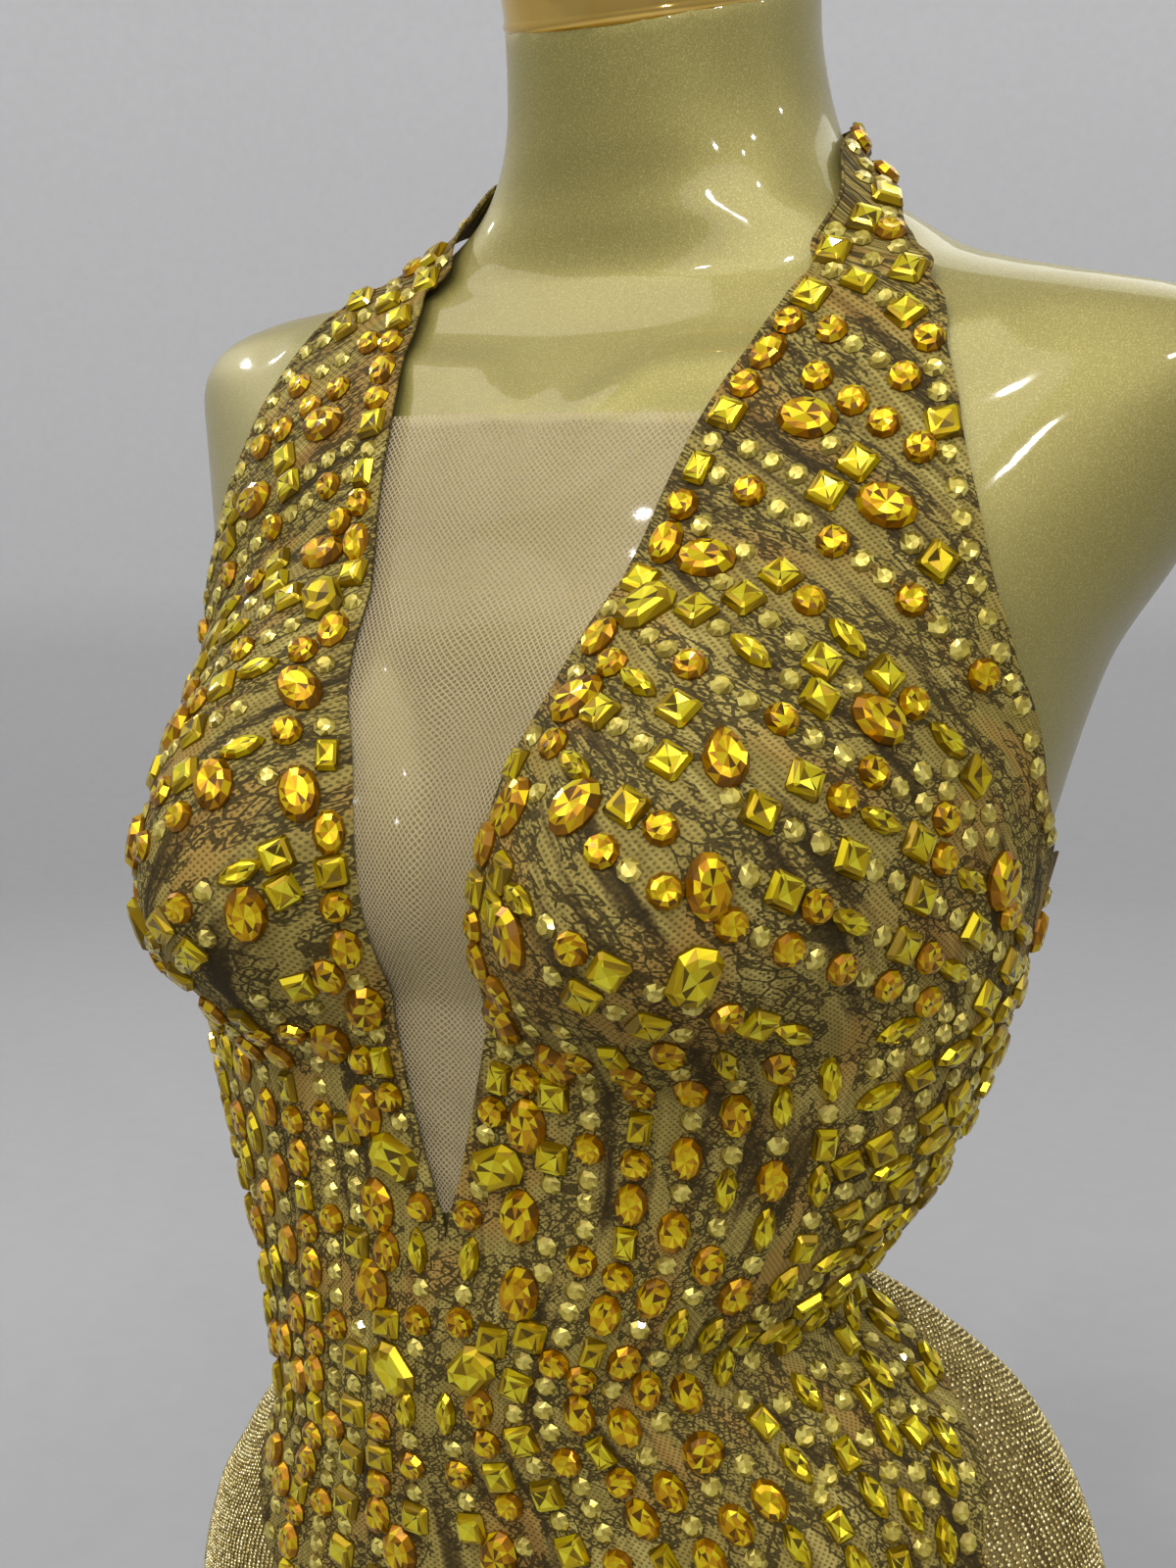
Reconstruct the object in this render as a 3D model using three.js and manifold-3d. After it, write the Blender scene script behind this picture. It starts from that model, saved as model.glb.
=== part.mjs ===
// Rhinestone bodysuit on a torso dress form: a halter neck, a deep plunge with a net inset,
// and hips of fine beads. Millimetres, +Z up. The front faces -Y and the wearer's left is +X.
// The form stands on its two thigh ends at z = 0, and the origin lies under the middle of the
// whole. In the tables a height is measured from the waist, and an angle in degrees from the
// centre front, positive towards +X.
import * as THREE from 'three';
import { mergeVertices } from 'three/addons/utils/BufferGeometryUtils.js';
import Module from 'manifold-3d';

const wasm = await Module();
wasm.setup();

// Driving sizes
const WAIST_HEIGHT = 330;
const CLEARANCE = 2.6;
const CLOTH_WALL = 2.0;
const NET_WALL = 1.0;
const SEAM_GAP = 1.2;
const RING_STEP = 20;
const RING_SEGMENTS = 44;
const THIGH_SPREAD = 92;
const NECK_TOP = 470;
const CAP_HEIGHT = 36;
const CAP_RADIUS = 55;
const CAP_NARROWER = 0.965;
const CAP_SEAT = 0.3;
const MIDDLE_X = 7;
const MIDDLE_Y = 7.15;
const STONE_HEIGHT = 3.6;
const STONE_SINK = 1.3;
const STONE_TABLE = 0.62;
const RAY_START = 20;

// Rings of the form: half width, depth to the front and to the back of a centre at x and y,
// rise per millimetre towards +X, and the exponent of the ring's superellipse
const formRings = [
  { height: -256, half: 14, front: 10, back: 10, x: 4, y: 22, tilt: 0, square: 2 },
  { height: -254, half: 62, front: 34, back: 40, x: 4, y: 22, tilt: 0, square: 2 },
  { height: -245, half: 112, front: 62, back: 76, x: 4, y: 22, tilt: 0.01, square: 2.1 },
  { height: -225, half: 150, front: 84, back: 98, x: 4, y: 22, tilt: 0.02, square: 2.2 },
  { height: -190, half: 170, front: 95, back: 112, x: 5, y: 22, tilt: 0.06, square: 2.2 },
  { height: -150, half: 176, front: 98, back: 116, x: 5, y: 22, tilt: 0.13, square: 2.2 },
  { height: -100, half: 169, front: 96, back: 110, x: -1, y: 20, tilt: 0.2, square: 2.2 },
  { height: -60, half: 153, front: 90, back: 100, x: -4, y: 14, tilt: 0.25, square: 2.2 },
  { height: -30, half: 126, front: 83, back: 88, x: -8, y: 6, tilt: 0.28, square: 2.2 },
  { height: 0, half: 101, front: 78, back: 76, x: -9, y: -4, tilt: 0.28, square: 2.2 },
  { height: 25, half: 108, front: 76, back: 74, x: -4, y: -7, tilt: 0.22, square: 2.2 },
  { height: 60, half: 123, front: 75, back: 76, x: -1, y: -7, tilt: 0.14, square: 2.2 },
  { height: 110, half: 138, front: 83, back: 82, x: 0, y: -2, tilt: 0.08, square: 2.3 },
  { height: 170, half: 148, front: 95, back: 84, x: 1, y: 10, tilt: 0.03, square: 2.4 },
  { height: 230, half: 160, front: 103, back: 80, x: 2, y: 30, tilt: 0, square: 2.3 },
  { height: 270, half: 179, front: 93, back: 82, x: 4, y: 36, tilt: -0.02, square: 2.1 },
  { height: 305, half: 193, front: 75, back: 80, x: 6, y: 34, tilt: -0.03, square: 1.9 },
  { height: 325, half: 198, front: 60, back: 76, x: 7, y: 34, tilt: -0.03, square: 1.9 },
  { height: 338, half: 192, front: 50, back: 70, x: 9, y: 34, tilt: -0.03, square: 1.9 },
  { height: 347, half: 170, front: 46, back: 63, x: 11, y: 35, tilt: -0.03, square: 1.9 },
  { height: 353, half: 132, front: 44, back: 58, x: 13, y: 36, tilt: -0.02, square: 2 },
  { height: 360, half: 104, front: 44, back: 55, x: 14, y: 36, tilt: -0.02, square: 2 },
  { height: 368, half: 88, front: 46, back: 54, x: 14, y: 37, tilt: -0.01, square: 2 },
  { height: 380, half: 71.5, front: 48, back: 53, x: 12.5, y: 38, tilt: 0, square: 2 },
  { height: 396, half: 59.8, front: 51, back: 53, x: 11.8, y: 37, tilt: 0, square: 2 },
  { height: 412, half: 54.8, front: 52, back: 53, x: 11.8, y: 34, tilt: 0, square: 2 },
  { height: 436, half: 52, front: 53, back: 53, x: 12, y: 29, tilt: 0, square: 2 },
  { height: NECK_TOP, half: 52, front: 53, back: 53, x: 12, y: 27, tilt: 0, square: 2 },
];

// The bust: each cup is a smooth rise of the front about its apex, and the stretched cloth bridges
// the hollow round it by being that much wider
const cup = { x: 74, height: 168, radius: 64, above: 1.35, below: 0.85, rise: 46, sharpness: 1.3 };
const CLOTH_BRIDGE = 7;

// The neck is cut by a plane that rises towards the back, and the cap sits on it
const neckCut = { x: 12, y: 29.7, height: 442.2, riseX: -0.053, riseY: 0.384 };

// Short thigh ends, each an ellipse in plan
const thighRings = [
  { height: -WAIST_HEIGHT, half: 60, depth: 72 },
  { height: -270, half: 62, depth: 76 },
  { height: -235, half: 62, depth: 77 },
  { height: -205, half: 56, depth: 70 },
];

// Cut of a front half, from the crotch seam to the nape. A row runs from the inner edge, which is
// the centre seam and then the plunge, to the outer edge, which is the leg line below the side
// seam, and the armhole and the strap's lower edge above it.
const frontRows = [
  { at: -232, innerHeight: -232, innerAngle: 0, outerHeight: -232, outerAngle: 10 },
  { at: -205, innerHeight: -205, innerAngle: 0, outerHeight: -205, outerAngle: 18 },
  { at: -182, innerHeight: -182, innerAngle: 0, outerHeight: -182, outerAngle: 27 },
  { at: -165, innerHeight: -165, innerAngle: 0, outerHeight: -165, outerAngle: 42 },
  { at: -150, innerHeight: -150, innerAngle: 0, outerHeight: -150, outerAngle: 58 },
  { at: -140, innerHeight: -140, innerAngle: 0, outerHeight: -140, outerAngle: 69 },
  { at: 56, innerHeight: 56, innerAngle: 0, outerHeight: 56, outerAngle: 86 },
  { at: 82, innerHeight: 82, innerAngle: 2, outerHeight: 82, outerAngle: 87 },
  { at: 113, innerHeight: 113, innerAngle: 4, outerHeight: 113, outerAngle: 88 },
  { at: 150, innerHeight: 150, innerAngle: 5.6, outerHeight: 150, outerAngle: 89 },
  { at: 172, innerHeight: 172, innerAngle: 6.2, outerHeight: 172, outerAngle: 90 },
  { at: 196, innerHeight: 200, innerAngle: 7.8, outerHeight: 194, outerAngle: 80 },
  { at: 222, innerHeight: 225, innerAngle: 10.8, outerHeight: 216, outerAngle: 71 },
  { at: 248, innerHeight: 250, innerAngle: 12.6, outerHeight: 240, outerAngle: 60 },
  { at: 272, innerHeight: 275, innerAngle: 14.8, outerHeight: 263, outerAngle: 50.6 },
  { at: 295, innerHeight: 298, innerAngle: 17.2, outerHeight: 285, outerAngle: 45.4 },
  { at: 315, innerHeight: 320, innerAngle: 18.9, outerHeight: 307, outerAngle: 41.3 },
  { at: 335, innerHeight: 340, innerAngle: 21.4, outerHeight: 329, outerAngle: 37.3 },
  { at: 350, innerHeight: 353, innerAngle: 30, outerHeight: 343, outerAngle: 37 },
  { at: 364, innerHeight: 364, innerAngle: 44, outerHeight: 352, outerAngle: 45.5 },
  { at: 378, innerHeight: 376, innerAngle: 61, outerHeight: 358.5, outerAngle: 56 },
  { at: 394, innerHeight: 390, innerAngle: 77, outerHeight: 368, outerAngle: 70 },
  { at: 412, innerHeight: 399, innerAngle: 97, outerHeight: 377, outerAngle: 92 },
  { at: 434, innerHeight: 404, innerAngle: 118, outerHeight: 381, outerAngle: 116 },
  { at: 460, innerHeight: 407, innerAngle: 148, outerHeight: 384, outerAngle: 148 },
  { at: 488, innerHeight: 408, innerAngle: 179, outerHeight: 385, outerAngle: 179.5 },
];

// Side seams, straight between these rows: near is on the +X side and far on the other
const sideSeams = [
  { height: -182, near: 69, far: 27 },
  { height: -70, near: 69, far: 28 },
  { height: 0, near: 112, far: 54 },
  { height: 172, near: 90, far: 90 },
];
const legTop = { near: -140, far: -182 };
const FRONT_BOTTOM = -232;
const HIP_LINE = -70;
const NAPE = 488;
const ROW_STEP = 16;
const NET_GAP = 1.2;
const NET_TIP = 66;
const NET_TOP = 302;
const UNDERARM = 172;
const WAIST_SEAM = 0;
const BACK_MIDDLE = 64;

// Leg line of the seat panel, by share of the way from the near side seam round to the far one
const seatLegs = [
  { share: 0, height: -140 },
  { share: 0.08, height: -138 },
  { share: 0.17, height: -160 },
  { share: 0.26, height: -196 },
  { share: 0.33, height: -222 },
  { share: 0.36, height: FRONT_BOTTOM },
  { share: 0.453, height: FRONT_BOTTOM },
  { share: 0.48, height: -222 },
  { share: 0.55, height: -196 },
  { share: 0.66, height: -160 },
  { share: 0.76, height: -138 },
  { share: 0.85, height: -142 },
  { share: 0.93, height: -162 },
  { share: 1, height: -182 },
];

// Top edge of the back panel, by share of the way from the near underarm round to the far one
const backTop = [
  { share: 0, height: UNDERARM },
  { share: 0.2, height: 152 },
  { share: 0.5, height: 118 },
  { share: 0.8, height: 152 },
  { share: 1, height: UNDERARM },
];

// The gusset: heights passed on each side on its way under the form, and its half widths
const gussetHeights = [-232, -239, -245, -250, -253, -254.6, -255.6];
const gussetWidths = [
  { share: 0, half: 30 },
  { share: 0.35, half: 22 },
  { share: 0.7, half: 22 },
  { share: 1, half: 25 },
];
const GUSSET_GAP = 0.4;

// Large stones: length, width and kind of outline
const stoneKinds = {
  oval: { length: 18, width: 13, outline: 'round' },
  pear: { length: 18, width: 13, outline: 'pear' },
  octagon: { length: 18, width: 13, outline: 'cut' },
  round: { length: 13, width: 13, outline: 'round' },
};

// Large stones of a front half. Turn is the long side's angle from upright, leaning outwards.
const frontStones = [
  { kind: 'oval', height: 303, angle: 27.5, turn: 100 },
  { kind: 'oval', height: 279, angle: 37, turn: 115 },
  { kind: 'oval', height: 261, angle: 21, turn: 95 },
  { kind: 'octagon', height: 247, angle: 17.5, turn: 35 },
  { kind: 'oval', height: 218, angle: 46, turn: 125 },
  { kind: 'oval', height: 222, angle: 15, turn: 40 },
  { kind: 'pear', height: 209, angle: 32.5, turn: 0 },
  { kind: 'oval', height: 194, angle: 11.5, turn: 5 },
  { kind: 'oval', height: 196, angle: 20, turn: 25 },
  { kind: 'oval', height: 178, angle: 35, turn: 5 },
  { kind: 'octagon', height: 156, angle: 35, turn: 15 },
  { kind: 'oval', height: 163, angle: 15, turn: 0 },
  { kind: 'oval', height: 169, angle: 74, turn: 0 },
  { kind: 'oval', height: 133, angle: 8, turn: -5 },
  { kind: 'oval', height: 121, angle: 14, turn: 5 },
  { kind: 'oval', height: 97, angle: 10, turn: -5 },
  { kind: 'octagon', height: 83, angle: 6.5, turn: -65 },
  { kind: 'oval', height: 67, angle: 10, turn: -8 },
  { kind: 'oval', height: 41, angle: 11.5, turn: -5 },
  { kind: 'octagon', height: 15, angle: 6.5, turn: -40 },
  { kind: 'oval', height: -50, angle: 6, turn: -8 },
  { kind: 'oval', height: -125, angle: 8, turn: -4 },
];

// Stones that only the wider +X half has room for
const nearStones = [
  { kind: 'round', height: -25, angle: 40.5, turn: 0 },
  { kind: 'oval', height: -90, angle: 40, turn: -8 },
];

// Large stones of the back panel, each also on the other side of the centre back
const backStones = [
  { kind: 'oval', height: 112, angle: 122, turn: 0 },
  { kind: 'oval', height: 84, angle: 160, turn: 0 },
  { kind: 'oval', height: 46, angle: 134, turn: 0 },
];

const clamp = THREE.MathUtils.clamp;
const lerp = THREE.MathUtils.lerp;

// Slope of a smooth curve at row i of a table, level wherever the column turns back
function slopeAt(table, key, column, i) {
  if (i === 0 || i === table.length - 1) return 0;
  const before = table[i][key] - table[i - 1][key];
  const after = table[i + 1][key] - table[i][key];
  const rising = (table[i][column] - table[i - 1][column]) / before;
  const next = (table[i + 1][column] - table[i][column]) / after;
  if (rising * next <= 0) return 0;
  const first = 2 * after + before;
  const second = after + 2 * before;
  return (first + second) / (first / rising + second / next);
}

// Value of a table's column where its key column has the value given
function read(table, key, column, value) {
  const last = table.length - 1;
  const place = clamp(value, table[0][key], table[last][key]);
  let i = 0;
  while (i < last - 1 && place > table[i + 1][key]) i += 1;
  const span = table[i + 1][key] - table[i][key];
  const t = (place - table[i][key]) / span;
  const start = slopeAt(table, key, column, i) * span;
  const end = slopeAt(table, key, column, i + 1) * span;
  const blend = t * t * (3 - 2 * t);
  const bend = start * t * (1 - t) ** 2 - end * t * t * (1 - t);
  return lerp(table[i][column], table[i + 1][column], blend) + bend;
}

// How far the cups stand out at a place on the front
function cupRise(x, height, wider = 0) {
  const radius = cup.radius + wider;
  const across = (Math.abs(x) - cup.x) / radius;
  const reach = radius * (height > cup.height ? cup.above : cup.below);
  const away = Math.min(Math.hypot(across, (height - cup.height) / reach), 1);
  return cup.rise * Math.cos(away * Math.PI / 2) ** cup.sharpness;
}

// Point of the form's skin, or of the cloth's own surface where rise says how the cups stand out
function skinPoint(height, angle, rise = cupRise) {
  const ring = (column) => read(formRings, 'height', column, height);
  const turn = THREE.MathUtils.degToRad(angle);
  const power = 2 / ring('square');
  const x = ring('half') * Math.sign(Math.sin(turn)) * Math.abs(Math.sin(turn)) ** power;
  const facing = Math.cos(turn);
  const depth = ring(facing > 0 ? 'front' : 'back');
  const y = -depth * Math.sign(facing) * Math.abs(facing) ** power;
  const out = facing > 0 ? rise(x, height) : 0;
  const z = WAIST_HEIGHT + height + ring('tilt') * x;
  return new THREE.Vector3(ring('x') + x, ring('y') + y - out, z);
}

const clothRise = (x, height) => cupRise(x, height, CLOTH_BRIDGE);

// Outward direction of the surface
function skinNormal(height, angle, rise = clothRise) {
  const low = Math.max(height - 1.5, formRings[0].height);
  const high = Math.min(height + 1.5, NECK_TOP);
  const across = skinPoint(height, angle + 1.5, rise).sub(skinPoint(height, angle - 1.5, rise));
  const up = skinPoint(high, angle, rise).sub(skinPoint(low, angle, rise));
  return across.cross(up).normalize();
}

// Point of the cloth at a distance from the form
function liftedPoint(height, angle, lift, rise = clothRise) {
  return skinPoint(height, angle, rise).addScaledVector(skinNormal(height, angle, rise), lift);
}

// Degrees that cover a distance along the skin
function degreesFor(distance, height, angle) {
  const step = 0.2;
  const inward = angle > 0 ? -step : step;
  return distance * step / skinPoint(height, angle).distanceTo(skinPoint(height, angle + inward));
}

// A closed wall between two layers of points. point(u, v, layer) gives the inner layer at 0 and
// the outer at 1, and u runs to the right of v as the wall is seen from outside.
function wallGeometry(columns, rows, point) {
  const positions = [];
  for (const layer of [0, 1]) {
    for (let j = 0; j <= rows; j += 1) {
      for (let i = 0; i <= columns; i += 1) {
        positions.push(...point(i / columns, j / rows, layer).toArray());
      }
    }
  }
  const at = (i, j, layer) => layer * (rows + 1) * (columns + 1) + j * (columns + 1) + i;
  const index = [];
  const quad = (a, b, c, d) => index.push(a, b, c, a, c, d);
  for (let j = 0; j < rows; j += 1) {
    for (let i = 0; i < columns; i += 1) {
      quad(at(i, j, 1), at(i + 1, j, 1), at(i + 1, j + 1, 1), at(i, j + 1, 1));
      quad(at(i, j, 0), at(i, j + 1, 0), at(i + 1, j + 1, 0), at(i + 1, j, 0));
    }
  }
  for (let i = 0; i < columns; i += 1) {
    quad(at(i, 0, 0), at(i + 1, 0, 0), at(i + 1, 0, 1), at(i, 0, 1));
    quad(at(i, rows, 1), at(i + 1, rows, 1), at(i + 1, rows, 0), at(i, rows, 0));
  }
  for (let j = 0; j < rows; j += 1) {
    quad(at(0, j, 1), at(0, j + 1, 1), at(0, j + 1, 0), at(0, j, 0));
    quad(at(columns, j, 0), at(columns, j + 1, 0), at(columns, j + 1, 1), at(columns, j, 1));
  }
  const geometry = new THREE.BufferGeometry();
  geometry.setAttribute('position', new THREE.Float32BufferAttribute(positions, 3));
  geometry.setIndex(index);
  return geometry;
}

// A closed body through rings of points, with a flat end fan at each end
function loftGeometry(rings) {
  const count = rings[0].length;
  const positions = rings.flat().flatMap((point) => point.toArray());
  const index = [];
  for (let j = 0; j < rings.length - 1; j += 1) {
    for (let i = 0; i < count; i += 1) {
      const next = (i + 1) % count;
      const low = j * count;
      const high = low + count;
      index.push(low + i, low + next, high + next, low + i, high + next, high + i);
    }
  }
  const ends = [rings[0], rings[rings.length - 1]];
  for (const ring of ends) {
    const middle = ring.reduce((sum, point) => sum.add(point), new THREE.Vector3());
    positions.push(...middle.divideScalar(count).toArray());
  }
  const bottomMiddle = rings.length * count;
  const topStart = (rings.length - 1) * count;
  for (let i = 0; i < count; i += 1) {
    const next = (i + 1) % count;
    index.push(bottomMiddle, next, i);
    index.push(bottomMiddle + 1, topStart + i, topStart + next);
  }
  const geometry = new THREE.BufferGeometry();
  geometry.setAttribute('position', new THREE.Float32BufferAttribute(positions, 3));
  geometry.setIndex(index);
  return geometry;
}

// Solids for joining, and back again
function toSolid(geometry) {
  const merged = mergeVertices(geometry, 1e-4);
  const vertProperties = new Float32Array(merged.attributes.position.array);
  const triVerts = new Uint32Array(merged.index.array);
  return new wasm.Manifold(new wasm.Mesh({ numProp: 3, vertProperties, triVerts }));
}

function fromSolid(solid) {
  const mesh = solid.getMesh();
  const geometry = new THREE.BufferGeometry();
  geometry.setAttribute('position', new THREE.BufferAttribute(mesh.vertProperties, 3));
  geometry.setIndex(new THREE.BufferAttribute(mesh.triVerts, 1));
  return geometry;
}

// Outline of a stone in its own plane, long side along y
function stoneOutline({ length, width, outline }) {
  const points = [];
  if (outline === 'cut') {
    const cut = width * 0.28;
    for (const [sideX, sideY] of [[1, -1], [1, 1], [-1, 1], [-1, -1]]) {
      const side = new THREE.Vector2(sideX * width / 2, sideY * (length / 2 - cut));
      const end = new THREE.Vector2(sideX * (width / 2 - cut), sideY * length / 2);
      points.push(...(sideX * sideY < 0 ? [end, side] : [side, end]));
    }
    return points;
  }
  const corners = 8;
  for (let i = 0; i < corners; i += 1) {
    const turn = 2 * Math.PI * i / corners;
    const narrow = outline === 'pear' ? 1 - 0.35 * Math.max(Math.sin(turn), 0) : 1;
    const x = width / 2 * Math.cos(turn) * narrow;
    points.push(new THREE.Vector2(x, length / 2 * Math.sin(turn)));
  }
  return points;
}

// A stone whose base is sunk in the outer face of a panel
function stoneSolid(panel, { kind, height, angle, turn }) {
  const normal = skinNormal(height, angle);
  const above = liftedPoint(height, angle, RAY_START);
  const [hit] = new THREE.Raycaster(above, normal.clone().negate()).intersectObject(panel);
  const up = new THREE.Vector3(0, 0, 1).projectOnPlane(normal).normalize();
  const lean = Math.sign(angle) * THREE.MathUtils.degToRad(turn);
  const long = up.applyAxisAngle(normal, -lean);
  const wide = new THREE.Vector3().crossVectors(long, normal);
  const outline = stoneOutline(stoneKinds[kind]);
  const ring = (scale, rise) => outline.map((corner) => hit.point.clone()
    .addScaledVector(wide, corner.x * scale)
    .addScaledVector(long, corner.y * scale)
    .addScaledVector(normal, rise));
  return toSolid(loftGeometry([ring(1, -STONE_SINK), ring(STONE_TABLE, STONE_HEIGHT)]));
}

function setStones(geometry, stones) {
  const panel = new THREE.Mesh(geometry);
  let joined = toSolid(geometry);
  for (const stone of stones) joined = joined.add(stoneSolid(panel, stone));
  return fromSolid(joined);
}

const otherSide = (stone) => ({ ...stone, angle: -stone.angle });

// Angle of a side seam at a height, straight between the table's rows
function seamAngle(edge, height) {
  let i = 0;
  while (i < sideSeams.length - 2 && height > sideSeams[i + 1].height) i += 1;
  const low = sideSeams[i];
  const high = sideSeams[i + 1];
  const share = clamp((height - low.height) / (high.height - low.height), 0, 1);
  return lerp(low[edge], high[edge], share);
}

// Stations of a front half's rows, with one at each end of the seams
function frontStations() {
  const ends = [FRONT_BOTTOM, legTop.far, legTop.near, HIP_LINE, WAIST_SEAM, UNDERARM, NAPE];
  const stations = [FRONT_BOTTOM];
  for (let i = 1; i < ends.length; i += 1) {
    const steps = Math.ceil((ends[i] - ends[i - 1]) / ROW_STEP);
    for (let k = 1; k <= steps; k += 1) stations.push(lerp(ends[i - 1], ends[i], k / steps));
  }
  return stations;
}

// Front halves: side is 1 for the +X half and -1 for the other
function frontHalf(side) {
  const edge = side > 0 ? 'near' : 'far';
  const stations = frontStations();
  const rows = stations.map((at) => {
    const front = (column) => read(frontRows, 'at', column, at);
    const inner = { height: front('innerHeight'), angle: front('innerAngle') };
    const seamed = at > legTop[edge] && at < UNDERARM;
    const outerAngle = seamed ? seamAngle(edge, at) : front('outerAngle');
    const outer = { height: front('outerHeight'), angle: outerAngle };
    inner.angle += degreesFor(SEAM_GAP / 2, inner.height, inner.angle + 0.2);
    outer.angle -= degreesFor(SEAM_GAP / 2, outer.height, outer.angle);
    return { inner, outer };
  });
  return wallGeometry(12, stations.length - 1, (u, v, layer) => {
    const { inner, outer } = rows[Math.round(v * (stations.length - 1))];
    const share = side > 0 ? u : 1 - u;
    const height = lerp(inner.height, outer.height, share) + (v === 0 ? SEAM_GAP / 2 : 0);
    const angle = side * lerp(inner.angle, outer.angle, share);
    return liftedPoint(height, angle, CLEARANCE + layer * CLOTH_WALL);
  });
}

// A panel that runs round the back from seam to seam. Its rows go from a lower line by way of
// the middle one, where the seams bend, to an upper line.
function roundPanel(columns, { lowRows, highRows }, lower, middle, upper) {
  const rows = lowRows + highRows;
  return wallGeometry(columns, rows, (u, v, layer) => {
    const from = lower(u) + SEAM_GAP / 2;
    const to = upper(u) - SEAM_GAP / 2;
    const row = Math.round(v * rows);
    const low = lerp(from, middle, Math.min(row / lowRows, 1));
    const height = row <= lowRows ? low : lerp(middle, to, (row - lowRows) / highRows);
    const nearAngle = seamAngle('near', height);
    const farAngle = seamAngle('far', height);
    const near = nearAngle + degreesFor(SEAM_GAP / 2, height, nearAngle);
    const far = 360 - farAngle - degreesFor(SEAM_GAP / 2, height, farAngle);
    return liftedPoint(height, lerp(near, far, u), CLEARANCE + layer * CLOTH_WALL);
  });
}

// The net lies across the plunge, and bridges the hollow between the cups
function netInset() {
  return wallGeometry(6, 14, (u, v, layer) => {
    const at = lerp(NET_TIP, NET_TOP, v);
    const height = read(frontRows, 'at', 'innerHeight', at);
    const edge = read(frontRows, 'at', 'innerAngle', at);
    const overhang = Math.max(-skinNormal(height, edge).x, 0) * (CLEARANCE + CLOTH_WALL);
    const reach = edge - degreesFor(NET_GAP + overhang, height, edge);
    const edgeX = skinPoint(height, edge).x - skinPoint(height, 0).x;
    const bridged = clothRise(edgeX, height);
    const lift = CLEARANCE + layer * NET_WALL;
    return liftedPoint(height, lerp(-reach, reach, u), lift, () => bridged);
  });
}

// The gusset follows the underside of the form from the back seam to the front seam
function gusset() {
  const path = [
    ...gussetHeights.map((height) => ({ height, angle: 180 })),
    ...gussetHeights.toReversed().map((height) => ({ height, angle: 0 })),
  ];
  const last = path.length - 1;
  path[0].height -= GUSSET_GAP;
  path[last].height -= GUSSET_GAP;
  return wallGeometry(4, last, (u, v, layer) => {
    const { height, angle } = path[Math.round(v * last)];
    const half = read(gussetWidths, 'share', 'half', v);
    const middle = liftedPoint(height, angle, CLEARANCE + layer * CLOTH_WALL);
    return middle.add(new THREE.Vector3(lerp(-half, half, u), 0, 0));
  });
}

function torso() {
  const heights = [formRings[0].height];
  for (let i = 1; i < formRings.length; i += 1) {
    const start = formRings[i - 1].height;
    const span = formRings[i].height - start;
    const steps = Math.ceil(span / RING_STEP);
    for (let k = 1; k <= steps; k += 1) heights.push(start + span * k / steps);
  }
  const rings = heights.map((height) => {
    const ring = [];
    for (let i = 0; i < RING_SEGMENTS; i += 1) ring.push(skinPoint(height, 360 * i / RING_SEGMENTS));
    return ring;
  });
  return loftGeometry(rings);
}

function thigh(side) {
  const bottom = formRings[0];
  const segments = 24;
  const rings = thighRings.map(({ height, half, depth }) => {
    const ring = [];
    for (let i = 0; i < segments; i += 1) {
      const turn = 2 * Math.PI * i / segments;
      const x = bottom.x + side * THIGH_SPREAD + half * Math.sin(turn);
      ring.push(new THREE.Vector3(x, bottom.y - depth * Math.cos(turn), WAIST_HEIGHT + height));
    }
    return ring;
  });
  return loftGeometry(rings);
}

// Middle and upward direction of the plane that cuts the neck
const neckMiddle = new THREE.Vector3(neckCut.x, neckCut.y, WAIST_HEIGHT + neckCut.height);
const neckUp = new THREE.Vector3(-neckCut.riseX, -neckCut.riseY, 1).normalize();

function formBody() {
  const body = toSolid(torso()).add(toSolid(thigh(1))).add(toSolid(thigh(-1)));
  const down = neckUp.clone().negate();
  return fromSolid(body.trimByPlane(down.toArray(), neckMiddle.dot(down)));
}

// Neck cap: a band with a slightly domed top, a little narrower than deep like the neck
function neckCap() {
  const profile = [
    [0, 0], [CAP_RADIUS - 1, 0], [CAP_RADIUS, 1.5], [CAP_RADIUS, CAP_HEIGHT - 5],
    [CAP_RADIUS - 2, CAP_HEIGHT - 2], [CAP_RADIUS - 8, CAP_HEIGHT - 0.5], [0, CAP_HEIGHT],
  ].map(([x, y]) => new THREE.Vector2(x, y));
  const geometry = new THREE.LatheGeometry(profile, 32).rotateX(Math.PI / 2);
  return geometry.scale(CAP_NARROWER, 1, 1);
}

const printedMesh = new THREE.MeshStandardMaterial({ color: 0x8a7440, roughness: 0.7 });
const beadedMesh = new THREE.MeshStandardMaterial({ color: 0xb9983f, roughness: 0.4, metalness: 0.5 });
const nudeNet = new THREE.MeshStandardMaterial({ color: 0xc9b08a, roughness: 0.8 });
const goldPaint = new THREE.MeshStandardMaterial({ color: 0xb8a45c, roughness: 0.25, metalness: 0.6 });
const polishedGold = new THREE.MeshStandardMaterial({ color: 0xd9b964, roughness: 0.1, metalness: 1 });

const model = new THREE.Group();

function addPiece(name, geometry, material) {
  const mesh = new THREE.Mesh(geometry, material);
  mesh.name = name;
  model.add(mesh);
  return mesh;
}

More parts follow.
